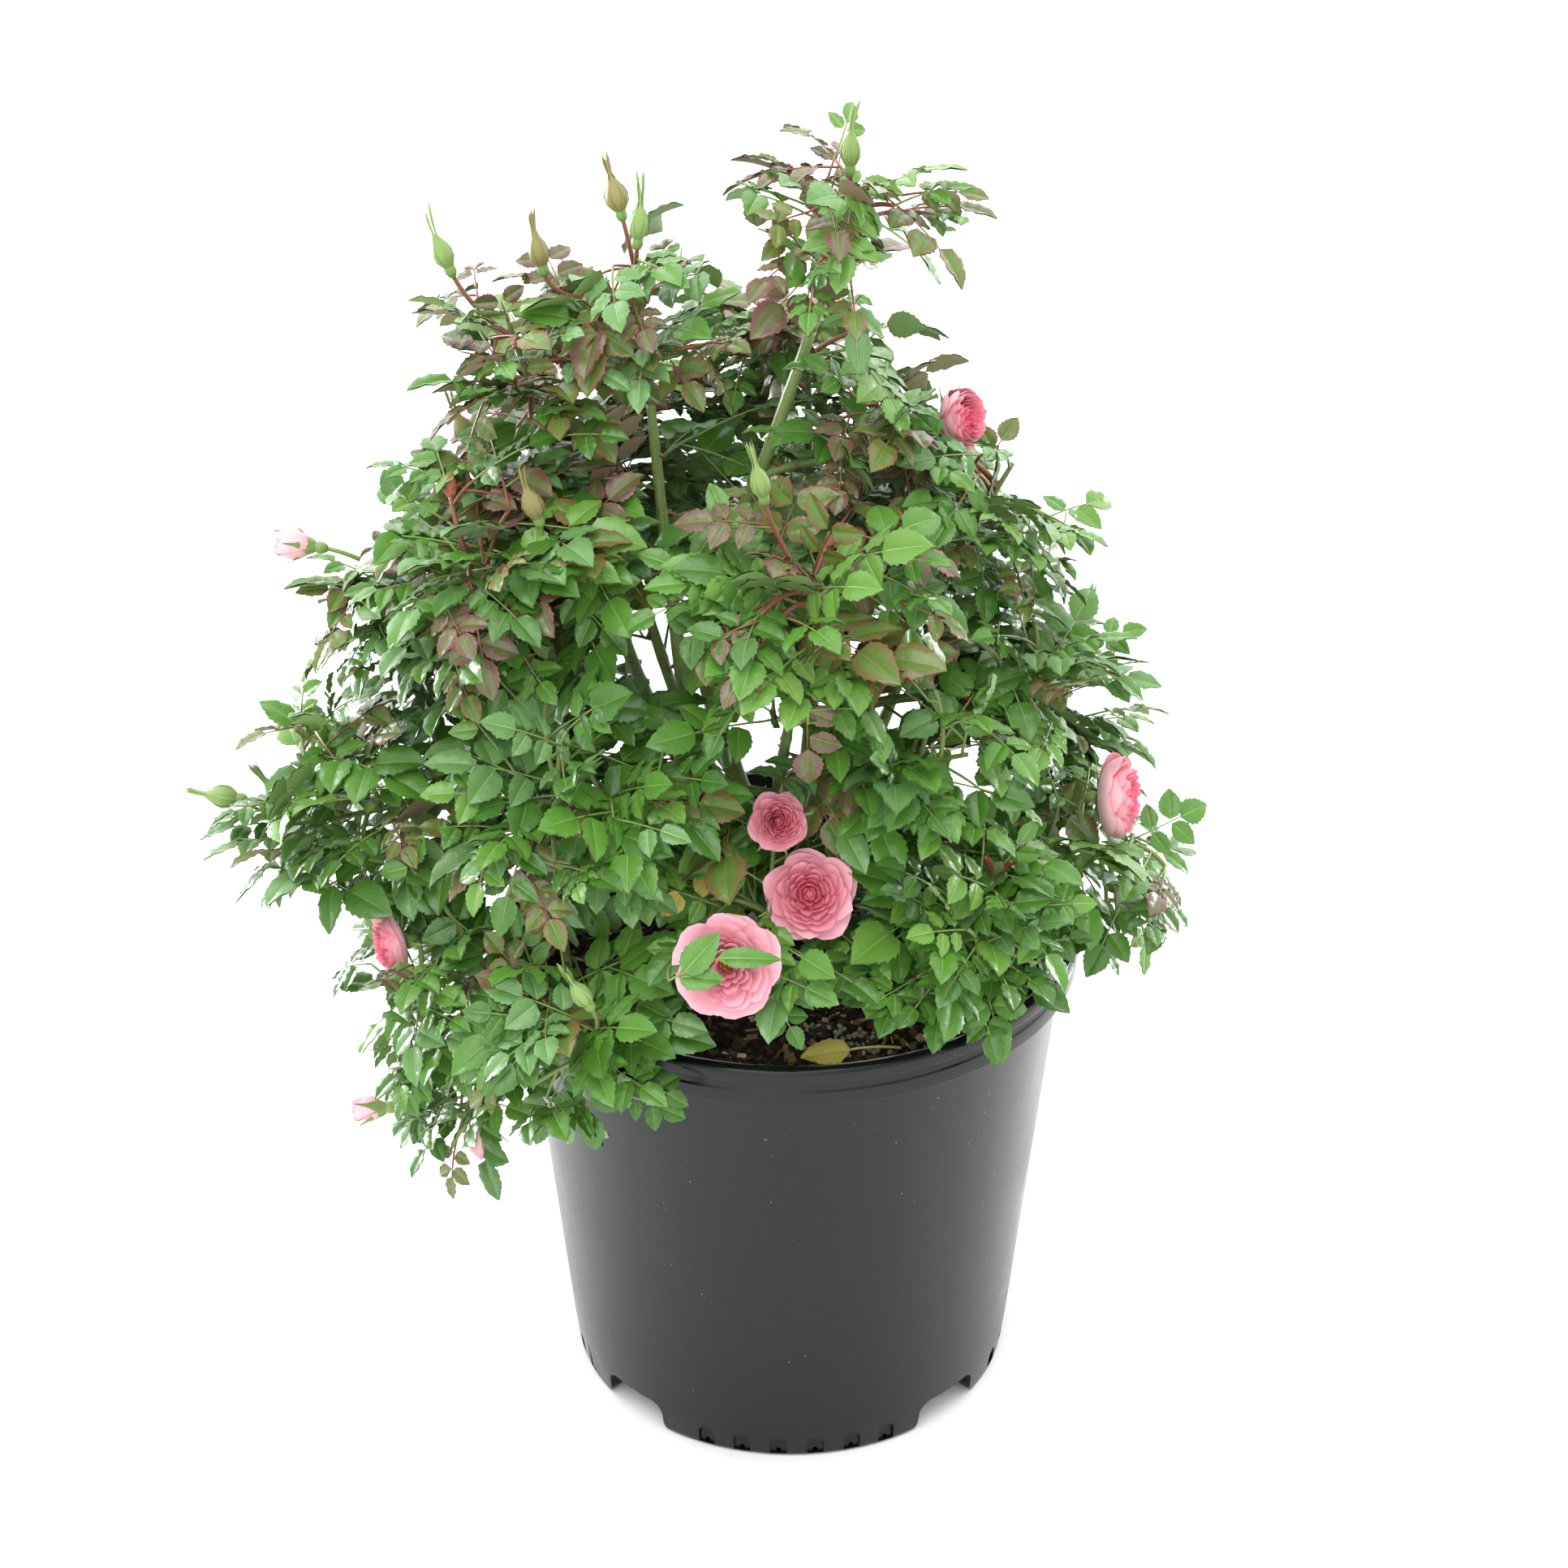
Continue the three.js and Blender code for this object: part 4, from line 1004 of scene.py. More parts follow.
def sepal(turn, length, width, out, tip_out, thread=0.3):
    """A narrow sepal that is drawn out to a thread. It hugs the bud at first and then stands off."""
    share = np.linspace(0, 1, 9)
    widths = [0.8, 1, 1, thread, 0.6 * thread, 0.04]
    half = width / 2 * np.interp(share, [0, 0.12, 0.3, 0.62, 0.9, 1], widths)
    tilt = np.interp(share, [0, 0.3, 1], [out[0], out[1], tip_out])
    step = length / 8
    radius = 2.6 + np.concatenate([[0], np.cumsum(np.sin(tilt[1:]) * step)])
    height = np.concatenate([[0], np.cumsum(np.cos(tilt[1:]) * step)])
    side = np.array([-1, 0, 1])
    x = np.maximum(radius, 0.2)[:, None] - 0.25 * half[:, None] * np.abs(side)
    y = half[:, None] * side
    points = np.stack([x * cos(turn) - y * sin(turn), x * sin(turn) + y * cos(turn)], axis=-1)
    heights = np.broadcast_to(height[:, None], x.shape)
    return np.concatenate([points, heights[..., None]], axis=-1).reshape(-1, 3)


SEPAL_FACES = grid_faces(9, 3)


def turned_part(profile, sides=10):
    """Points and triangles of a small turned part, from [radius, height] pairs."""
    spine = np.array([[0, 0, z] for _, z in profile], float)
    turn = 2 * pi * np.arange(sides) / sides
    radii = np.array([[r] * sides for r, _ in profile], float)
    ring = np.stack([np.cos(turn), np.sin(turn), np.zeros(sides)], axis=-1)
    points = (spine[:, None] + ring[None] * radii[..., None]).reshape(-1, 3)
    return points, grid_faces(len(profile), sides, closed=True)


def bloom(petals, greens, flower):
    """An open or half-open flower on its hip."""
    base = calyx(flower)
    axes = frame_of(flower["faces"], petal_dice.uniform(0, 2 * pi))
    spread, scale = flower["spread"], flower["scale"]
    faded = flower["open"] == 1
    turn = petal_dice.uniform(0, 2 * pi)
    for ring, (count, wide, shut) in enumerate(PETAL_RINGS[:-1] if faded else PETAL_RINGS):
        rim, height = np.array(shut) + (np.array(wide) - shut) * spread
        for _ in range(count):
            size = petal_dice.uniform(0.93, 1.05)
            pointed = petal_dice.uniform(0.5, 1) if ring < 2 and not faded else 0
            points = petal(
                turn + petal_dice.normal(0, 0.08),
                count,
                rim * size,
                height * petal_dice.uniform(0.92, 1.06),
                spread,
                pointed,
            )
            tone = (FADED_TONES if faded else FRESH_TONES)[ring]
            petals.add(base + (points * scale + [0, 0, 3]) @ axes, PETAL_FACES, tone)
            turn += 2 * pi / count
        turn += GOLDEN
    heart = [(0.4, 3), (2.6, 7), (2.4, 9), (0.1, 9.6)]
    points, faces = turned_part([(r, z * 0.75 if faded else z) for r, z in heart], 8)
    petals.add(base + points * scale @ axes, faces, 2)
    hip = [(0.2, -3.6), (1.7, -3.2), (2.9, -1), (3.1, 0.8), (2.5, 2.4), (2.9, 3.6), (0.3, 3.8)]
    points, faces = turned_part(hip)
    greens.add(base + points @ axes, faces, 0)
    back = radians(100) * spread + radians(28)
    for i in range(5):
        turn = 2 * pi * i / 5 + petal_dice.normal(0, 0.12)
        points = sepal(turn, 6 + 12 * scale, 5.4, (back * 0.75, back), back * petal_dice.uniform(0.8, 1.2))
        greens.add(base + (points + [0, 0, 2.6]) @ axes, SEPAL_FACES, 1)


def stamens(heap, flower):
    """A loose brush of stamens in the heart of a bloom that is fully out."""
    base = flower["at"] - flower["faces"] * 0.1 * flower["depth"]
    axes = frame_of(flower["faces"])
    for i in range(22):
        turn, lean = i * 2.4, radians(petal_dice.uniform(2, 34))
        way = np.array([sin(lean) * cos(turn), sin(lean) * sin(turn), cos(lean)]) @ axes
        tip = base + way * petal_dice.uniform(4.5, 7)
        heap.add(*tube(bow(base, (base + tip) / 2, tip, 2), np.array([0.2, 0.18, 0.16]), 3), 3)
        heap.add(tip + BALL_POINTS * 0.55, BALL_FACES, 3)


def bud(petals, greens, flower):
    """A closed bud: a hip, a plump spindle that shows pink where it has begun to open, and long sepals."""
    base = calyx(flower)
    axes = frame_of(flower["faces"], petal_dice.uniform(0, 2 * pi))
    fat = 0.74 + 1.6 * flower["open"]
    points, faces = turned_part([(0.3, -3.4), (1.7, -3), (2.7, -0.8), (2.6, 1.2), (2.4, 2.6)])
    greens.add(base + points @ axes, faces, 0)
    spindle = [(2.3, 2.2), (4.5, 4.4), (5.3, 7.2), (4.9, 10), (3.4, 12.8), (1.7, 15), (0.1, 16.6)]
    points, faces = turned_part([(r * fat, z) for r, z in spindle], 12)
    skin = 1 + int(petal_dice.random() < 0.4)
    shows_pink = flower["open"] > 0
    (petals if shows_pink else greens).add(base + points @ axes, faces, 2 if shows_pink else skin)
    bend = petal_dice.uniform(-1, 1, 2)
    for i in range(5):
        points = sepal(2 * pi * i / 5, 27 + petal_dice.uniform(-3, 3), 7, (0.5, 0.1), -0.2, 0.62)
        radius = np.hypot(points[:, 0], points[:, 1])
        body = np.interp(points[:, 2], [z - 2 for _, z in spindle], [r * fat for r, _ in spindle]) + 0.8
        beyond = np.maximum(points[:, 2] - 12.5, 0)
        body = np.where(beyond > 0, np.maximum(body, 0.4) + petal_dice.uniform(0, 0.14) * beyond, body)
        points[:, :2] *= (body / np.maximum(radius, 0.3))[:, None]
        points[:, :2] += bend * 0.014 * beyond[:, None] ** 2
        greens.add(base + (points + [0, 0, 2]) @ axes, SEPAL_FACES, skin)


# Rose petals: soft and matte with a silky edge, shell pink outside and deeper towards the heart.
petal_finishes = [
    new_finish("petal_shell_pink", "#f8bbc8", 0.55, Sheen_Weight=0.2)[0],
    new_finish("petal_rose_pink", "#f7abba", 0.55, Sheen_Weight=0.2)[0],
    new_finish("petal_deep_pink", "#f393a8", 0.55, Sheen_Weight=0.15)[0],
    new_finish("petal_heart", "#ea748d", 0.55, Sheen_Weight=0.1)[0],
]
# Green hips and sepals, waxy, flushed with red, and straw-coloured stamens.
calyx_finishes = [
    new_finish("rose_hip_green", "#789650", 0.5)[0],
    new_finish("sepal_green", "#7f9a55", 0.6)[0],
    new_finish("sepal_bronze", "#87804d", 0.6)[0],
    new_finish("stamens_straw", "#a8762e", 0.8)[0],
]
petals, greens = Heap(), Heap()
for flower in FLOWERS:
    if flower["open"] > OPENING:
        bloom(petals, greens, flower)
        if flower["open"] == 1:
            stamens(greens, flower)
    else:
        bud(petals, greens, flower)


def mass_at(place):
    """The name of the mass whose space a point is in."""
    return min(MASSES, key=lambda m: np.sum((place - MASSES[m]["centre"]) ** 2) - MASSES[m]["size"] ** 2)


for flower in FLOWERS:
    flower["mass"] = mass_at(flower["at"])
flowering = sorted({flower["mass"] for flower in FLOWERS})
for piece in (petals.piece("rose_petals", petal_finishes), greens.piece("rose_calyxes", calyx_finishes)):
    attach(piece, "root")
    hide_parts(*flowering)

# ---- Foliage -------------------------------------------------------------------------------------------
# Each mass grows on from its limb: a stem through its middle, side shoots round it, finer twigs off them,
# and along them compound leaves of three to seven saw-edged leaflets. The dice are seeded for each mass.

LEAF = {"length": 69, "spacing": 16}
SHOOTS = {"count": 5, "finer": 8, "finer_high": 4, "high": 480, "room": 22, "wall_room": 9, "shortest": 12}
TWIG = {"shoot": 1.3, "tip": 1.0, "fine": 0.8}
TRIES = (1, 0.85, 0.7, 0.58)  # a leaf that would reach too far stays smaller

# Where daylight shows through the bush or notches its edge: a spot, and how far round it stays clear.
DAYLIGHT = [
    ((-61, 0, 392), 11),
    ((-60, 0, 374), 10),
    ((50, 0, 356), 8.5),
    ((82, 0, 328), 8),
    ((105, 0, 476), 11),
    ((114, 0, 493), 11),
    ((125, 0, 473), 11),
    ((75, 0, 511), 8),
    ((82, 0, 583), 12),
    ((-160, 0, 540), 9),
    ((-228, 0, 174), 12),
    ((-236, 0, 234), 9),
    ((137, 0, 362), 7),
    ((-202, 0, 446), 12),
    ((-190, 0, 461), 9),
    ((-243, 0, 331), 9),
    ((-223, 0, 406), 10),
    ((-211, 0, 193), 9),
    ((-233, 0, 247), 9),
    ((50, 0, 563), 12),
    ((52, 0, 536), 8),
    ((34, 0, 566), 8),
    ((-25, 0, 578), 10),
    ((-40, 0, 588), 8),
    ((36, 0, 620), 8),
]
DAYLIGHT = [(np.array(at, float), radius) for at, radius in DAYLIGHT]
BEST_BLOOMS = 4  # the first of the flowers, which no leaf hangs before or shades
CROWN_BUDS = 560  # buds over this height
SUN = np.array([-300, -1000, 2400.0])


def dice(seed):
    """The same numbers every time for the same seed."""
    state = (seed * 7919 + 12345) % 4294967296

    def roll():
        nonlocal state
        state = (1664525 * state + 1013904223) % 4294967296
        return state / 4294967296

    roll()
    roll()
    return roll


def stem_of(mass):
    way = unit(mass["limb"][-1] - mass["limb"][-2])
    start = mass["limb"][-1]
    across = np.linalg.norm(mass["centre"] - start)
    axis = unit(mass["centre"] - start)
    end = mass["centre"] + axis * 0.4 * mass["size"]
    return bow(start, start + way * 0.6 * across, end), axis


def room_towards(mass, towards):
    """How far a mass's own space goes on from its middle in a direction."""
    room = mass["size"] - SHOOTS["room"]
    for other in MASSES.values():
        if other is mass:
            continue
        across = other["centre"] - mass["centre"]
        apart = np.linalg.norm(across)
        facing = towards @ across / apart
        wall = (apart**2 - other["size"] ** 2 + mass["size"] ** 2) / (2 * apart)
        if facing > 0:
            room = min(room, wall / facing - SHOOTS["wall_room"])
    return room


def shoots_of(name, mass, stem, axis, roll, fine):
    """Flowering shoots first, then side shoots that follow one another up the stem and round it."""
    found = []
    for flower in FLOWERS:
        if flower["mass"] != name:
            continue
        tip = calyx(flower)
        towards = unit(tip - mass["centre"])
        start = along(stem, [0.6 + 0.3 * (towards @ axis)])[0]
        bend = tip - flower["faces"] * 0.45 * np.linalg.norm(start - tip)
        found.append((bow(start, bend, tip), flower))
    guide = np.array([1.0, 0, 0]) if abs(axis[2]) > 0.9 else UP
    side = unit(np.cross(axis, guide))
    over = np.cross(side, axis)

    def side_shoot(share, angle, draw, least, spare, root, out, up):
        """A shoot from a place on the stem, over a share of its room, with its bend pushed out and up."""
        facing = 1.5 * share - 0.7
        flat = sqrt(1 - facing * facing)
        towards = axis * facing + side * flat * cos(angle) + over * flat * sin(angle)
        reach = room_towards(mass, towards) * (least + spare * draw())
        if reach < SHOOTS["shortest"]:
            return
        start = along(stem, [root])[0]
        tip = mass["centre"] + towards * reach
        bend = (start + tip) / 2 + axis * out * reach + UP * up
        found.append((bow(start, bend, tip), None))

    for i in range(SHOOTS["count"]):
        share = (i + 0.5) / SHOOTS["count"]
        side_shoot(share, i * GOLDEN + 0.8 * roll(), roll, 0.8, 0.2, 0.25 + 0.65 * share, 0.15, 4)
    # Finer shoots fill the space between.
    finer = SHOOTS["finer" if mass["centre"][2] < SHOOTS["high"] else "finer_high"]
    for i in range(finer):
        share = (i + fine()) / finer
        side_shoot(share, (i + 0.5) * GOLDEN + 2 * fine(), fine, 0.75, 0.25, 0.2 + 0.7 * share, 0.1, 6)
    return found


# The leaflet's outline, as shares of its length along and of its half width across: seven spans, with a
# saw tooth in each. Its two halves fold sharply at the midrib. Roles: 0 upper face,
# 1 midrib, 2 under face, 3 toothed margin, 4 the upper face's outer half.
ROWS = 7
MIDRIB = 0.3  # half width, in millimetres


def outline(share):
    return np.sin(pi * share**0.74) ** 0.82


def leaflet_shape():
    """For each point: share along, half widths across, millimetres across, and how far under the face."""
    points, faces, roles = [[0, 0, 0, 0], [1, 0, 0, 0]], [], []
    top, rib = {}, {}
    for k in range(1, ROWS):
        t = k / ROWS
        for name, wide, flat in (("n", 0.96, 0), ("h", 0.52, 0), ("e", 0, MIDRIB * (1.15 - t))):
            for side in (-1, 1):
                top[name, k, side] = len(points)
                points.append([t, side * wide * outline(t), side * flat, 0])
                if name == "e":
                    rib[k, side] = len(points)
                    points.append(points[-1])
    for side in (-1, 1):
        for name in "nhe":
            top[name, 0, side], top[name, ROWS, side] = 0, 1
    under = {("m", 0): len(points), ("m", ROWS): len(points) + 1}
    points += [[0, 0, 0, 1], [1, 0, 0, 1]]
    for k in range(1, ROWS):
        t = k / ROWS
        under["m", k] = len(points)
        points.append([t, 0, 0, 1])
        for side in (-1, 1):
            under["n", k, side] = len(points)
            points.append([t, side * 0.96 * outline(t), 0, 0.15])
    for side in (-1, 1):
        under["n", 0, side], under["n", ROWS, side] = under["m", 0], under["m", ROWS]

    def face(corners, role, flipped):
        if len(set(corners)) < 3:
            return
        faces.append(corners[::-1] if flipped else corners)
        roles.append(role)

    for k in range(ROWS):
        t = (k + 0.82) / ROWS
        for side in (-1, 1):
            tooth = len(points)
            points.append([t, side * (1.07 * outline(min(t, 0.985)) + 0.01), 0, 0])
            points.append([t, side * (1.07 * outline(min(t, 0.985)) + 0.01), 0, 0.15])
            flipped = side > 0
            for inner, outer, role in (("e", "h", 0), ("h", "n", 4)):
                a, b = top[inner, k, side], top[inner, k + 1, side]
                c, d = top[outer, k + 1, side], top[outer, k, side]
                if k == 0:
                    face([a, c, b], role, not flipped)
                elif k == ROWS - 1:
                    face([a, d, b], role, not flipped)
                else:
                    face([a, c, b], role, not flipped)
                    face([a, d, c], role, not flipped)
            face([top["n", k, side], tooth, top["n", k + 1, side]], 3, not flipped)
            m, m2 = under["m", k], under["m", k + 1]
            n, n2 = under["n", k, side], under["n", k + 1, side]
            face([m, m2, n2], 2, not flipped)
            face([m, n2, n], 2, not flipped)
            face([n, n2, tooth + 1], 2, not flipped)
    for k in range(1, ROWS - 1):
        a, b, c, d = rib[k, -1], rib[k, 1], rib[k + 1, 1], rib[k + 1, -1]
        face([a, b, c], 1, False)
        face([a, c, d], 1, False)
    face([0, rib[1, -1], rib[1, 1]], 1, True)
    face([rib[ROWS - 1, -1], rib[ROWS - 1, 1], 1], 1, False)
    return np.array(points, float), np.array(faces), np.array(roles)


LEAFLET_POINTS, LEAFLET_FACES, LEAFLET_ROLES = leaflet_shape()

# Rose leaves are leathery: a satin upper face over a paler, matte under face. Leaves that have just opened
# are olive flushed with bronze or plum from their red edge in, and old ones low on the bush turn yellow.
# The sage tint is a painted sheen: a greyer, paler green, dealt out more often on the left of the bush,
# where the light falls.
TINTS = {
    "deep": ("#3f6c22", "#3f6c22", "#66883f", "#6f8f52", 0.34),
    "mid": ("#50812c", "#50812c", "#7a9c4a", "#7f9d5e", 0.34),
    "fresh": ("#608d37", "#608d37", "#8cab58", "#8aa868", 0.32),
    "painted_sheen_sage": ("#5f8a4c", "#5f8a4c", "#8aa668", "#94ae80", 0.33),
    "bronze": ("#5a7632", "#6a6634", "#80763d", "#828058", 0.3),
    "plum": ("#5d6437", "#664c40", "#80664c", "#83735c", 0.3),
    "yellow": ("#aba24a", "#b3a34a", "#bcb164", "#a79e5a", 0.5),
    # straw: a dried leaf's pale yellow, partly painted light, paler than the yellow tint to make up for the
    # shade the fallen leaf lies in.
    "straw": ("#cdbf62", "#c8b65a", "#d6ca7e", "#bdae68", 0.55),
    "red": ("#a5482c", "#9c3c2a", "#b05b42", "#9c5a45", 0.34),
}
leaf_finishes, role_finish = [], {}
red_edge = new_finish("leaf_edge_red", "#85443a", 0.4)[0]
for tint, (upper, outer, rib, beneath, roughness) in TINTS.items():
    first = len(leaf_finishes)
    for part, code in (("upper", upper), ("midrib", rib), ("under", beneath), ("outer", outer)):
        soft = 0.65 if part == "under" else roughness
        material, tree, shader = new_finish(f"rose_leaf_{tint}_{part}", code, soft, IOR=1.5)
        if part in ("upper", "outer"):
            # The net of fine veins, too small to draw, puckers the face between the side veins.
            place = add_node(tree, "ShaderNodeTexCoord").outputs["Object"]
            pucker = add_node(tree, "ShaderNodeTexVoronoi", {"Vector": place, "Scale": 480})
            tree.links.new(bump(tree, pucker.outputs["Distance"], 0.22, 0.5), shader.inputs["Normal"])
        leaf_finishes.append(material)
    role_finish[tint] = [first, first + 1, first + 2, first + 3, first + 3]
leaf_finishes.append(red_edge)
for tint in ("bronze", "plum"):
    role_finish[tint][3] = len(leaf_finishes) - 1
TINT_NAMES = list(TINTS)
ROLE_TABLE = np.array([role_finish[tint] for tint in TINT_NAMES])


def blades(leaflets):
    """Points and triangles of many leaflets at once, from a dictionary of their arrays."""
    t, wide, flat, under = LEAFLET_POINTS.T
    length, half = leaflets["length"][:, None], leaflets["half"][:, None]
    x = t * length
    y = wide * half + flat
    fold = leaflets["fold"][:, None] * np.abs(y) * (1 - 0.3 * t)
    crown = 0.10 * half * np.clip(1 - (np.abs(np.abs(wide) - 0.5) * 2) ** 2, 0, 1) * (under == 0)
    z = fold - 0.14 * y * y / half + crown - 0.35 * under
    z = z - leaflets["droop"][:, None] * x * x / length + leaflets["twist"][:, None] * y * t
    z = z + 0.35 * np.sin(t * 19 + leaflets["twist"][:, None] * 9) * (np.abs(wide) > 0.3)
    x = x - 0.5 * leaflets["droop"][:, None] ** 2 * x * t
    points = (
        leaflets["root"][:, None]
        + x[..., None] * leaflets["way"][:, None]
        + y[..., None] * leaflets["across"][:, None]
        + z[..., None] * leaflets["face"][:, None]
    )
    count = len(points)
    faces = LEAFLET_FACES[None] + len(LEAFLET_POINTS) * np.arange(count)[:, None, None]
    finishes = ROLE_TABLE[leaflets["tint"]][:, LEAFLET_ROLES]
    return points.reshape(-1, 3), faces.reshape(-1, 3), finishes.ravel()


def clear_of_pot(place):
    """Whether a spot is outside the pot and its mix, with a little room."""
    away = np.hypot(place[..., 0], place[..., 1])
    z = place[..., 2]
    over_mix = (away < 131) & (z > mix_height(place[..., 0], place[..., 1]) + 3)
    outside = away > np.where(z > POT["skirt_bottom"] - 4, POT["rim_radius"], wall_radius(z)) + 2.5
    return (z > POT["height"] + 2.5) | over_mix | (outside & (z > 4))


def line_of_sight(place, spot, eye=EYE):
    """How far a place stands aside from the line from an eye to a spot, and how far beyond the spot."""
    way = unit(spot - eye)
    run = (place - eye) @ way
    aside = np.linalg.norm((place - eye) - run[..., None] * way, axis=-1)
    return aside, run - np.linalg.norm(spot - eye)


def in_the_open(place):
    """Whether a leaf may be at a place: not across a patch of daylight, nor before a bloom or over a bud."""
    free = np.ones(place.shape[:-1], bool)
    for spot, radius in DAYLIGHT:
        aside, _ = line_of_sight(place, spot)
        free &= aside > radius
    for index, flower in enumerate(FLOWERS):
        apart = place - flower["at"]
        ahead = apart @ flower["faces"]
        beside = np.linalg.norm(apart - ahead[..., None] * flower["faces"], axis=-1)
        if flower["open"] <= OPENING:
            free &= ~((ahead > -14) & (ahead < 45) & (beside < 11 + 0.3 * ahead.clip(0)))
            if flower["at"][2] > CROWN_BUDS:  # the crown's buds stand clear above its leaves
                free &= ~((ahead > -7) & (ahead < 45) & (beside < 36))
            continue
        wide = flower["width"] / 2 + 1
        free &= ~((ahead > -6) & (ahead < (34 if index < BEST_BLOOMS else 15)) & (beside < wide))
        if index < BEST_BLOOMS:
            aside, beyond = line_of_sight(place, flower["at"])
            free &= ~((beyond < 0) & (beyond > -160) & (aside < wide - 1))
            aside, beyond = line_of_sight(place, flower["at"], SUN)
            free &= ~((beyond < 0) & (beyond > -90) & (aside < 0.65 * wide))
    return free


box_low, box_high = np.array(cad_box[0]) / MM - 5, np.array(cad_box[1]) / MM + 5
CENTRES = np.array([mass["centre"] for mass in MASSES.values()])
SIZES = np.array([mass["size"] for mass in MASSES.values()])


def in_reach(mass, place):
    """Whether a place is within a mass's reach, or for a leaf on a bare limb, within any mass's."""
    inside = np.all((place > box_low) & (place < box_high), axis=-1)
    if mass is None:
        apart = np.linalg.norm(place[..., None, :] - CENTRES, axis=-1)
        return inside & (apart < SIZES).any(axis=-1)
    return inside & (np.linalg.norm(place - mass["centre"], axis=-1) < mass["size"] + 4)


def leaf_tint(root, youth, roll):
    """The colour of a spray, by how young it is and how high it grows, with more of the painted sheen on the
    left, where the light falls.
    """
    z = root[2]
    bronze = np.interp(z, [260, 400, 470, 600], [0.08, 0.18, 0.36, 0.56]) * (0.45 + 0.8 * youth)
    draw = roll()
    if draw < bronze:
        return "plum" if roll() < 0.34 else "bronze"
    if z < 420 and roll() < 0.014:
        return "yellow"
    shade = roll()
    low = np.interp(z, [240, 420, 560], [0.42, 0.3, 0.12])
    if shade < low:
        return "deep"
    if shade < low + 0.33:
        return "mid"
    # Painted sheen: the sage tint goes more often to sprays on the left, x under -40, where the light falls.
    return "painted_sheen_sage" if (root[0] < -40) == (roll() < 0.7) else "fresh"


def add_leaflet(leaflets, placed, length, width, fold, droop, tint):
    """One leaflet, placed by its joint, its way and its face's way. Its width is a share of its length."""
    joint, way, face = placed
    values = {
        "root": joint,
        "way": way,
        "face": face,
        "across": np.cross(face, way),
        "length": length,
        "half": length * width,
        "fold": fold,
        "droop": droop,
        "twist": 0.16 * (length % 1 - 0.5),
        "tint": TINT_NAMES.index(tint),
    }
    for key, value in values.items():
        leaflets.setdefault(key, []).append(value)


def new_leaf(leaflets, twigs, mass, root, way, outward_face, length, youth, roll):
    """A compound leaf: a thin stalk that arches over, a leaflet at its end, and pairs along it."""
    pairs = 1 if roll() < 0.2 else 3 if roll() < 0.16 else 2
    tint = leaf_tint(root, youth, roll)
    for size in TRIES:
        reach = length * size
        tip = root + way * reach - outward_face * 0.12 * reach - UP * 0.06 * reach
        stalk = root + way * reach * np.array([[0.2], [0.38], [0.55]])
        ends_clear = in_reach(mass, tip) and clear_of_pot(np.stack([tip, stalk[-1]])).all()
        if ends_clear and in_the_open(stalk).all():
            break
    else:
        return 0
    stalk_end = root + way * 0.6 * reach - outward_face * 0.05 * reach
    stalk = bow(root, root + way * 0.32 * reach + outward_face * 0.02 * reach, stalk_end, 5)
    ahead = unit(stalk[-1] - stalk[-2])
    starts = [(1, stalk_end, ahead, 0.375)]
    across = unit(np.cross(outward_face, ahead))
    for rank, share in enumerate({1: [0.72], 2: [0.76, 0.38], 3: [0.8, 0.52, 0.25]}[pairs]):
        spread = radians(64 + 6 * rank + 12 * (roll() - 0.5))
        for side in (-1, 1):
            lateral = ahead * cos(spread) + across * side * sin(spread)
            place = share + 0.03 * side * (roll() - 0.5)
            joint = along(stalk, [place])[0]
            starts.append((place, joint + lateral * 1.2, lateral, 0.32 - 0.04 * rank))
    last = 0
    for place, joint, lateral, share in starts:
        lobe = reach * share * (0.9 + 0.2 * roll())
        face = outward_face + 0.3 * (np.array([roll(), roll(), roll()]) - 0.5)
        face = unit(face - lateral * (face @ lateral))
        spots = joint + lateral * lobe * np.array([[0.35], [0.7], [1.0]])
        shape, bend = roll(), roll()
        if not (clear_of_pot(spots) & in_reach(mass, spots) & in_the_open(spots)).all():
            continue
        turned = tint == "yellow" and shape < 0.6  # on an ageing leaf a few leaflets are still green
        add_leaflet(
            leaflets,
            (joint, lateral, face),
            lobe,
            0.31 + 0.06 * shape,
            0.14 + 0.34 * bend,
            0.10 + 0.14 * face[2] ** 2,
            "fresh" if turned else tint,
        )
        last = max(last, place)
    if last:
        reddish = tint in ("bronze", "plum", "red")
        shown = along(stalk, np.linspace(0, last, 6))
        twigs.add(*tube(shown, np.linspace(0.6, 0.36, 6), 4), 1 if reddish else 2)
    return last


def new_tip(leaflets, path, roll):
    """A tuft of red leaflets that are still unfolding at the end of a shoot."""
    ahead = heading(path, 1)
    axes = frame_of(ahead)
    for i in range(4):
        lean, turn = 0.25 + 0.4 * roll(), i * GOLDEN + roll()
        way = unit(ahead * cos(lean) + (axes[0] * cos(turn) + axes[1] * sin(turn)) * sin(lean))
        face = unit(ahead - way * (ahead @ way))
        lobe = 9 + 8 * roll()
        joint = path[-1] - ahead * (1 + 3 * roll())
        add_leaflet(leaflets, (joint, way, face), lobe, 0.19, 0.7, 0.15, "red" if roll() < 0.7 else "bronze")


def leaf_way(path, share, angle, tip):
    """The way a leaf leaves its twig at an angle round it."""
    ahead = heading(path, share)
    axes = frame_of(ahead)
    radial = axes[0] * sin(angle) - axes[1] * cos(angle)
    way = ahead + 0.15 * radial if tip else 0.5 * ahead + 0.85 * radial
    return unit(way * [1, 1, 0.65] + [0, 0, 0.04])


def facing_out(root, way, tilt):
    """The way a leaf's upper face looks: to the light, up over the crown and outwards over the skirts."""
    outward = unit(np.array([root[0], root[1], 0]) + [0.001, 0, 0])
    lean = np.interp(root[2], [230, 360, 520], [0.75, 0.6, 0.45])
    face = UP + outward * lean + tilt
    return unit(face - way * (face @ way))


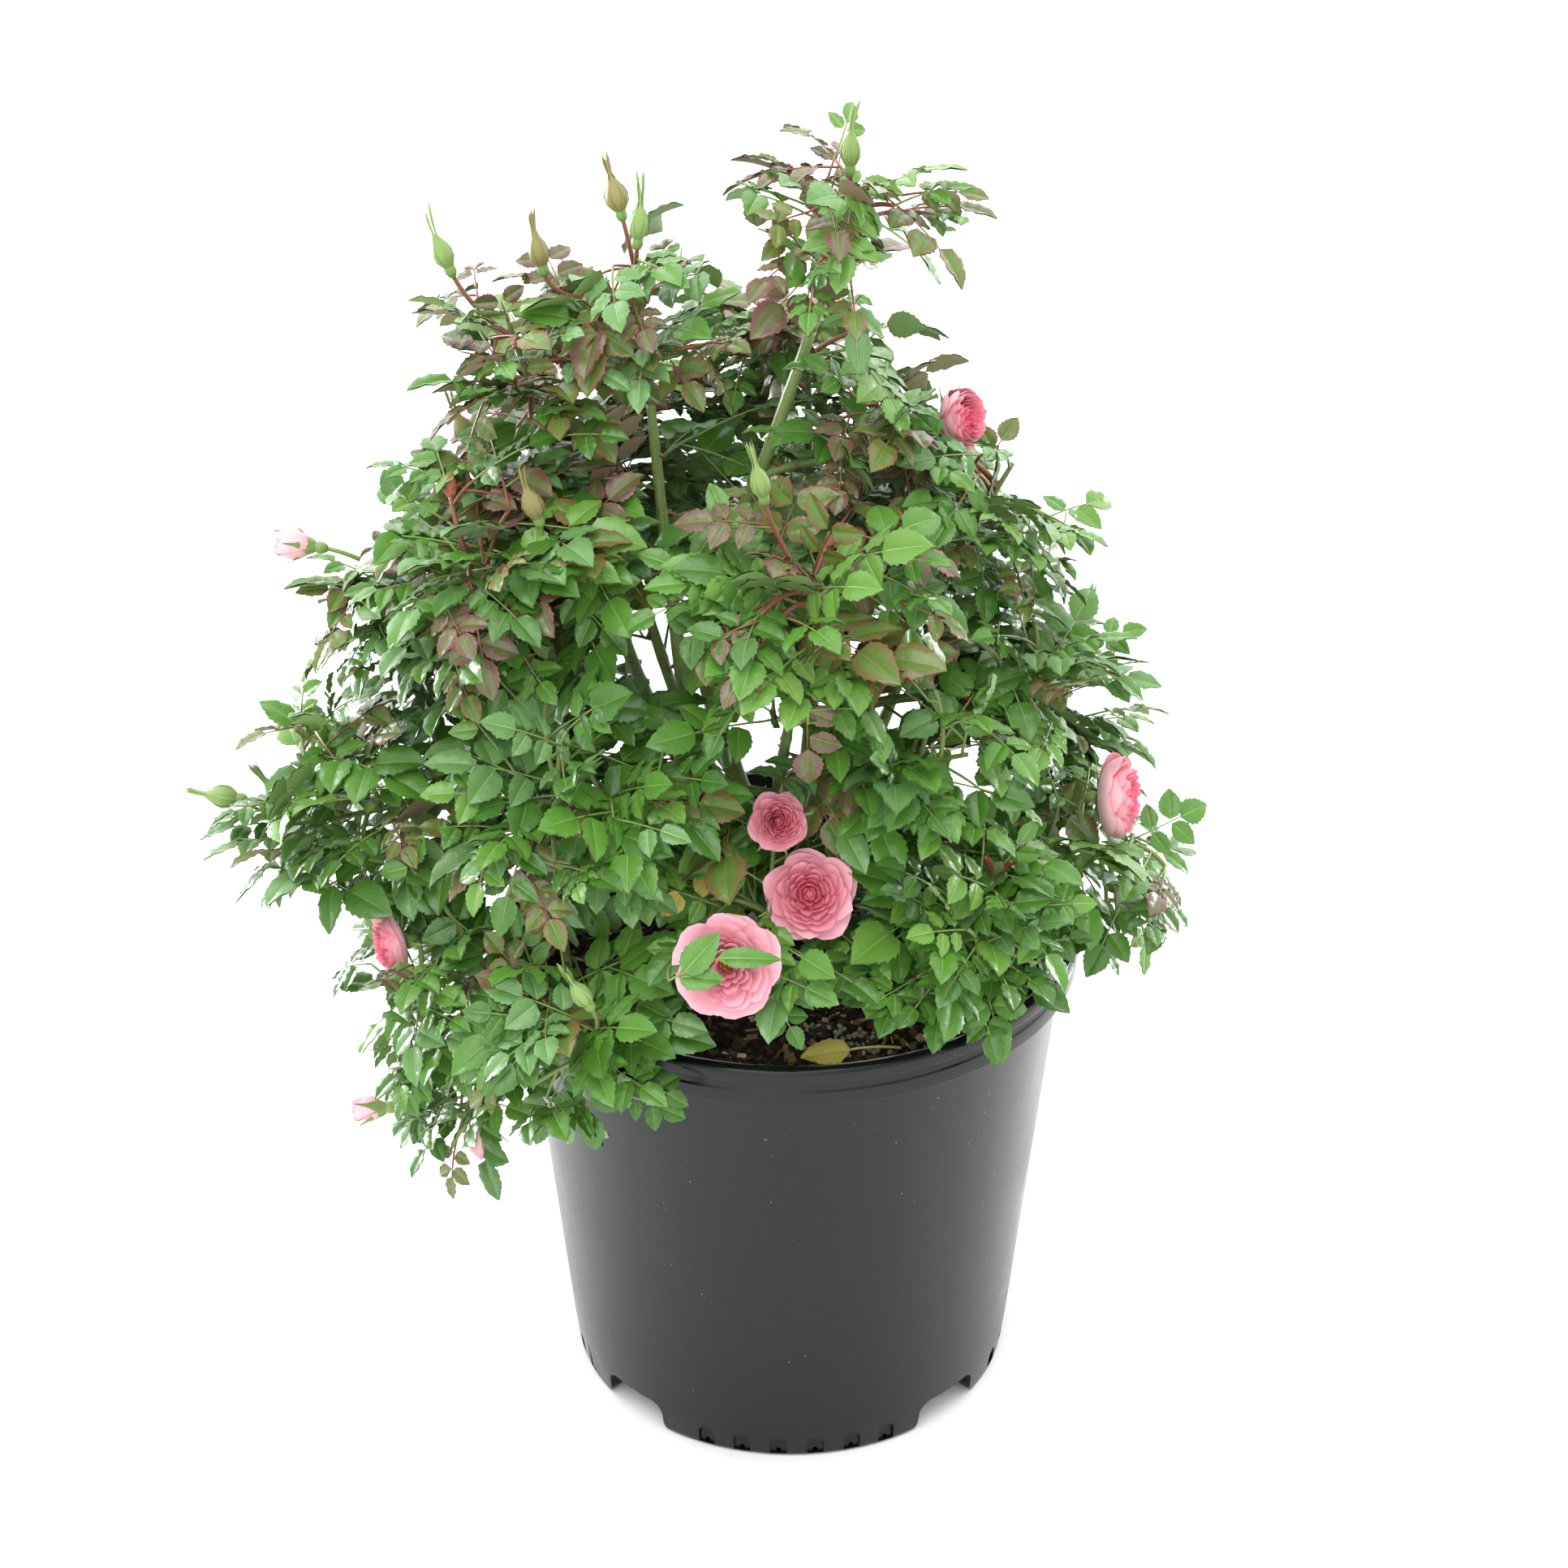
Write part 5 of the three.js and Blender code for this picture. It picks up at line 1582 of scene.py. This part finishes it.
def leafy_twig(start, end, turn, mass, leaflets, twigs, youth, skin, fine):
    """A short twig with a leaf at its tip and one or two on its sides. It ends at its last leaf."""
    twig = bow(start, (start + end) / 2 + UP * 2.5, end, 5)
    last = 0
    for place, angle in ((1.0, 0), (0.6, turn + GOLDEN), (0.25, turn - GOLDEN))[: 2 if mass else 3]:
        root = along(twig, [place])[0]
        way = leaf_way(twig, place, angle, place == 1.0)
        tilt = 0.7 * (np.array([fine(), fine(), fine()]) - 0.5)
        face = facing_out(root, way, tilt)
        length = LEAF["length"] * (0.78 + 0.25 * fine())
        if new_leaf(leaflets, twigs, mass, root, way, face, length, youth, fine):
            last = max(last, place)
    if last:
        shown = along(twig, np.linspace(0, last, 6))
        twigs.add(*tube(shown, np.linspace(TWIG["fine"] + 0.1, 0.55, 6), 5), skin)
    return last


def grow(name, seed, leaflets, twigs):
    """A mass of foliage, by the growing rule."""
    mass = MASSES[name]
    roll, fine = dice(seed), dice(seed + 100)
    stem, axis = stem_of(mass)
    shoots = [(stem, None)] + shoots_of(name, mass, stem, axis, roll, fine)
    for index, (path, flower) in enumerate(shoots):
        # A side shoot is cut back where it would cross daylight or a bloom.
        first, last = 0.25, 0.7 if flower else 1
        blocked = ~in_the_open(path)
        if index and not flower and blocked.any():
            last = (blocked.argmax() - 1) / (len(path) - 1)
            if last < 0.35:
                continue
        length = path_length(path)
        count = max(2, int((last - first) * length / LEAF["spacing"] + 0.5) + 1)
        young = path[-1][2] > 400 or index > 0
        red = 1 if path[-1][2] > 430 + 60 * fine() and index > 0 else 0 if index == 0 else 2
        leafy = 1 if flower else 0 if index else 0.92
        for j in range(count):
            share = last - (last - first) * j / (count - 1)
            size = 0.85 + 0.3 * roll()
            tilt = 0.75 * (np.array([roll(), roll(), roll()]) - 0.5)
            way = leaf_way(path, share, (index + j + 0.5) * 2 * pi / 3, j == 0 and not flower)
            root = along(path, [share])[0]
            youth = (1 - j / count) if young else 0.2
            face = facing_out(root, way, tilt)
            if new_leaf(leaflets, twigs, mass, root, way, face, LEAF["length"] * size, youth, fine):
                leafy = max(leafy, share)
            if j == count - 1:
                continue
            # A finer twig between this leaf and the next, with a leaf at its tip and one on its side.
            share -= 0.5 * (last - first) / (count - 1)
            start = along(path, [share])[0]
            turn = GOLDEN * (j + 3 * index) + fine()
            way = leaf_way(path, share, turn, False)
            end = start + way * (13 + 14 * fine())
            if not (in_reach(mass, end) and clear_of_pot(end) and in_the_open(end)):
                continue
            if leafy_twig(start, end, turn, mass, leaflets, twigs, youth * 0.8, red or 2, fine):
                leafy = max(leafy, share)
        if not flower and index and leafy > 0.97 and path[-1][2] > 300 and fine() < 0.4:
            new_tip(leaflets, path, fine)
        if leafy:
            radii = (TWIG["shoot"], TWIG["tip"]) if index else (mass["limb_radius"] + 0.1, 1.1)
            shown = along(path, np.linspace(0, leafy, 25))
            twigs.add(*tube(shown, np.linspace(*radii, 25), 6 if index else 8), red)


def dress_limb(path, seed, bare, leaflets, twigs):
    """Short leafy twigs along the upper part of a cane or bough, on its way to its masses."""
    fine = dice(seed)
    length = path_length(path)
    run = 0.0
    while run < length - 4:
        run += 9 + 6 * fine()
        root = along(path, [run / length])[0]
        turn = run * GOLDEN / 11
        if root[2] < bare or (root[2] > 460 and fine() < 0.55):
            continue
        way = leaf_way(path, run / length, turn, False)
        end = root + way * (12 + 26 * fine())
        if not (in_reach(None, end) and clear_of_pot(end) and in_the_open(end)):
            continue
        leafy_twig(root, end, turn, None, leaflets, twigs, 0.3, 0, fine)


def crossing_leaf(flower, leaflets, twigs):
    """A leaf of three that has come round the flower's side and hangs before it."""

    def before(right, up, near=16.0):
        return flower["at"] + np.array([right, 0.49 * up - 0.87 * near, 0.87 * up + 0.49 * near])

    start, side = calyx(flower) - flower["faces"] * 12, before(-25, -6, 12)
    stalk = bow(side, before(-18, -2), before(-4, 4), 8)
    twigs.add(*tube(bow(start, start + np.array([-32.0, 2, 4]), side, 8), np.linspace(0.9, 0.6, 9), 5), 2)
    twigs.add(*tube(stalk, np.linspace(0.6, 0.4, 9), 4), 2)
    face = unit(np.array([0.1, -0.7, 0.8]))
    for joint, tip, width in (
        (stalk[-1], before(24, 4), 0.17),
        (stalk[3], before(-3, 15), 0.28),
        (stalk[2], before(-1, -5), 0.31),
    ):
        way = unit(tip - joint)
        placed = (joint, way, unit(face - way * (face @ way)))
        add_leaflet(leaflets, placed, np.linalg.norm(tip - joint), width, 0.3, 0.1, "mid")


# Shoots: last year's are green going brown, this year's are red-bronze in the sun or light green.
twig_finishes = [
    new_finish("green_shoot_skin", "#64773f", 0.5)[0],
    new_finish("red_shoot_skin", "#84503a", 0.45)[0],
    new_finish("leaf_stalk_green", "#7a8f4c", 0.5)[0],
]
BUSH_PARTS = {
    "crown": ["crown_top", "crown_shoulder_right", "crown_top_left", "left_shoulder_top", "left_shoulder"],
    "left": ["left_flank", "left_skirt", "left_low_skirt", "left_hanging_shoot"],
    "right": ["right_shoulder", "right_flank", "right_skirt", "front_right_skirt"],
    "front": ["front_crown", "front_left_middle", "front_right_middle", "front_skirt", "front_left_skirt"],
    "back_left": ["back_left_middle", "back_left_skirt", "back_crown"],
    "back_right": ["back_right_middle", "back_right_skirt", "back_middle"],
}
seeds = {name: i + 1 for i, name in enumerate(MASSES)}
BARE_BELOW = {"cane": 290, "bough": 262}
for part, names in (*BUSH_PARTS.items(), ("limbs", [])):
    leaflets, twigs = {}, Heap()
    for name in names:
        grow(name, seeds[name], leaflets, twigs)
    if part == "front":
        crossing_leaf(FLOWERS[2], leaflets, twigs)
    if part == "limbs":
        names = list(MASSES)
        for i, path in enumerate(cane_paths.values()):
            dress_limb(path, 200 + i, BARE_BELOW["cane"], leaflets, twigs)
        for i, path in enumerate(bough_paths.values()):
            dress_limb(path, 300 + i, BARE_BELOW["bough"], leaflets, twigs)
    leaflets = {key: np.array(values) for key, values in leaflets.items()}
    leaves = joined_mesh(f"leaves_{part}", *blades(leaflets), leaf_finishes)
    stalks = twigs.piece(f"twigs_{part}", twig_finishes)
    for piece in (leaves, stalks):
        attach(piece, "root")
        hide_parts(*names)

# ---- Fallen leaf ---------------------------------------------------------------------------------------
# A yellowed leaf that has dropped on the mix near the front rim, with its long stalk. Its straw tint is a
# dried leaf's colour, partly painted light: it is made paler to make up for the shade of the leaves over it.

FALLEN = {"joint": (27, -107), "tip": (4, -110), "stalk_end": (50, -103), "width": 0.32}


def on_mix(spot, rise):
    return np.array([*spot, mix_height(*spot) + rise])


joint, tip = on_mix(FALLEN["joint"], 3.6), on_mix(FALLEN["tip"], 3.4)
way = unit(tip - joint)
face = unit(np.array([0.1, -0.25, 1]))
placed = (joint, way, unit(face - way * (face @ way)))
fallen = {}
add_leaflet(fallen, placed, np.linalg.norm(tip - joint), FALLEN["width"], 0.2, 0.08, "straw")
fallen = {key: np.array(values) for key, values in fallen.items()}
stalk = Heap()
end = on_mix(FALLEN["stalk_end"], 2.8)
stalk.add(*tube(bow(joint, (joint + end) / 2 + UP * 2, end, 8), np.linspace(0.6, 0.8, 9), 6), 0)
stalk = stalk.piece("fallen_leaf_stalk", [leaf_finishes[role_finish["straw"][1]]])
fallen = joined_mesh("fallen_leaf", *blades(fallen), leaf_finishes)
for piece in (fallen, stalk):
    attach(piece, "root")
    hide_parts("potting_mix")
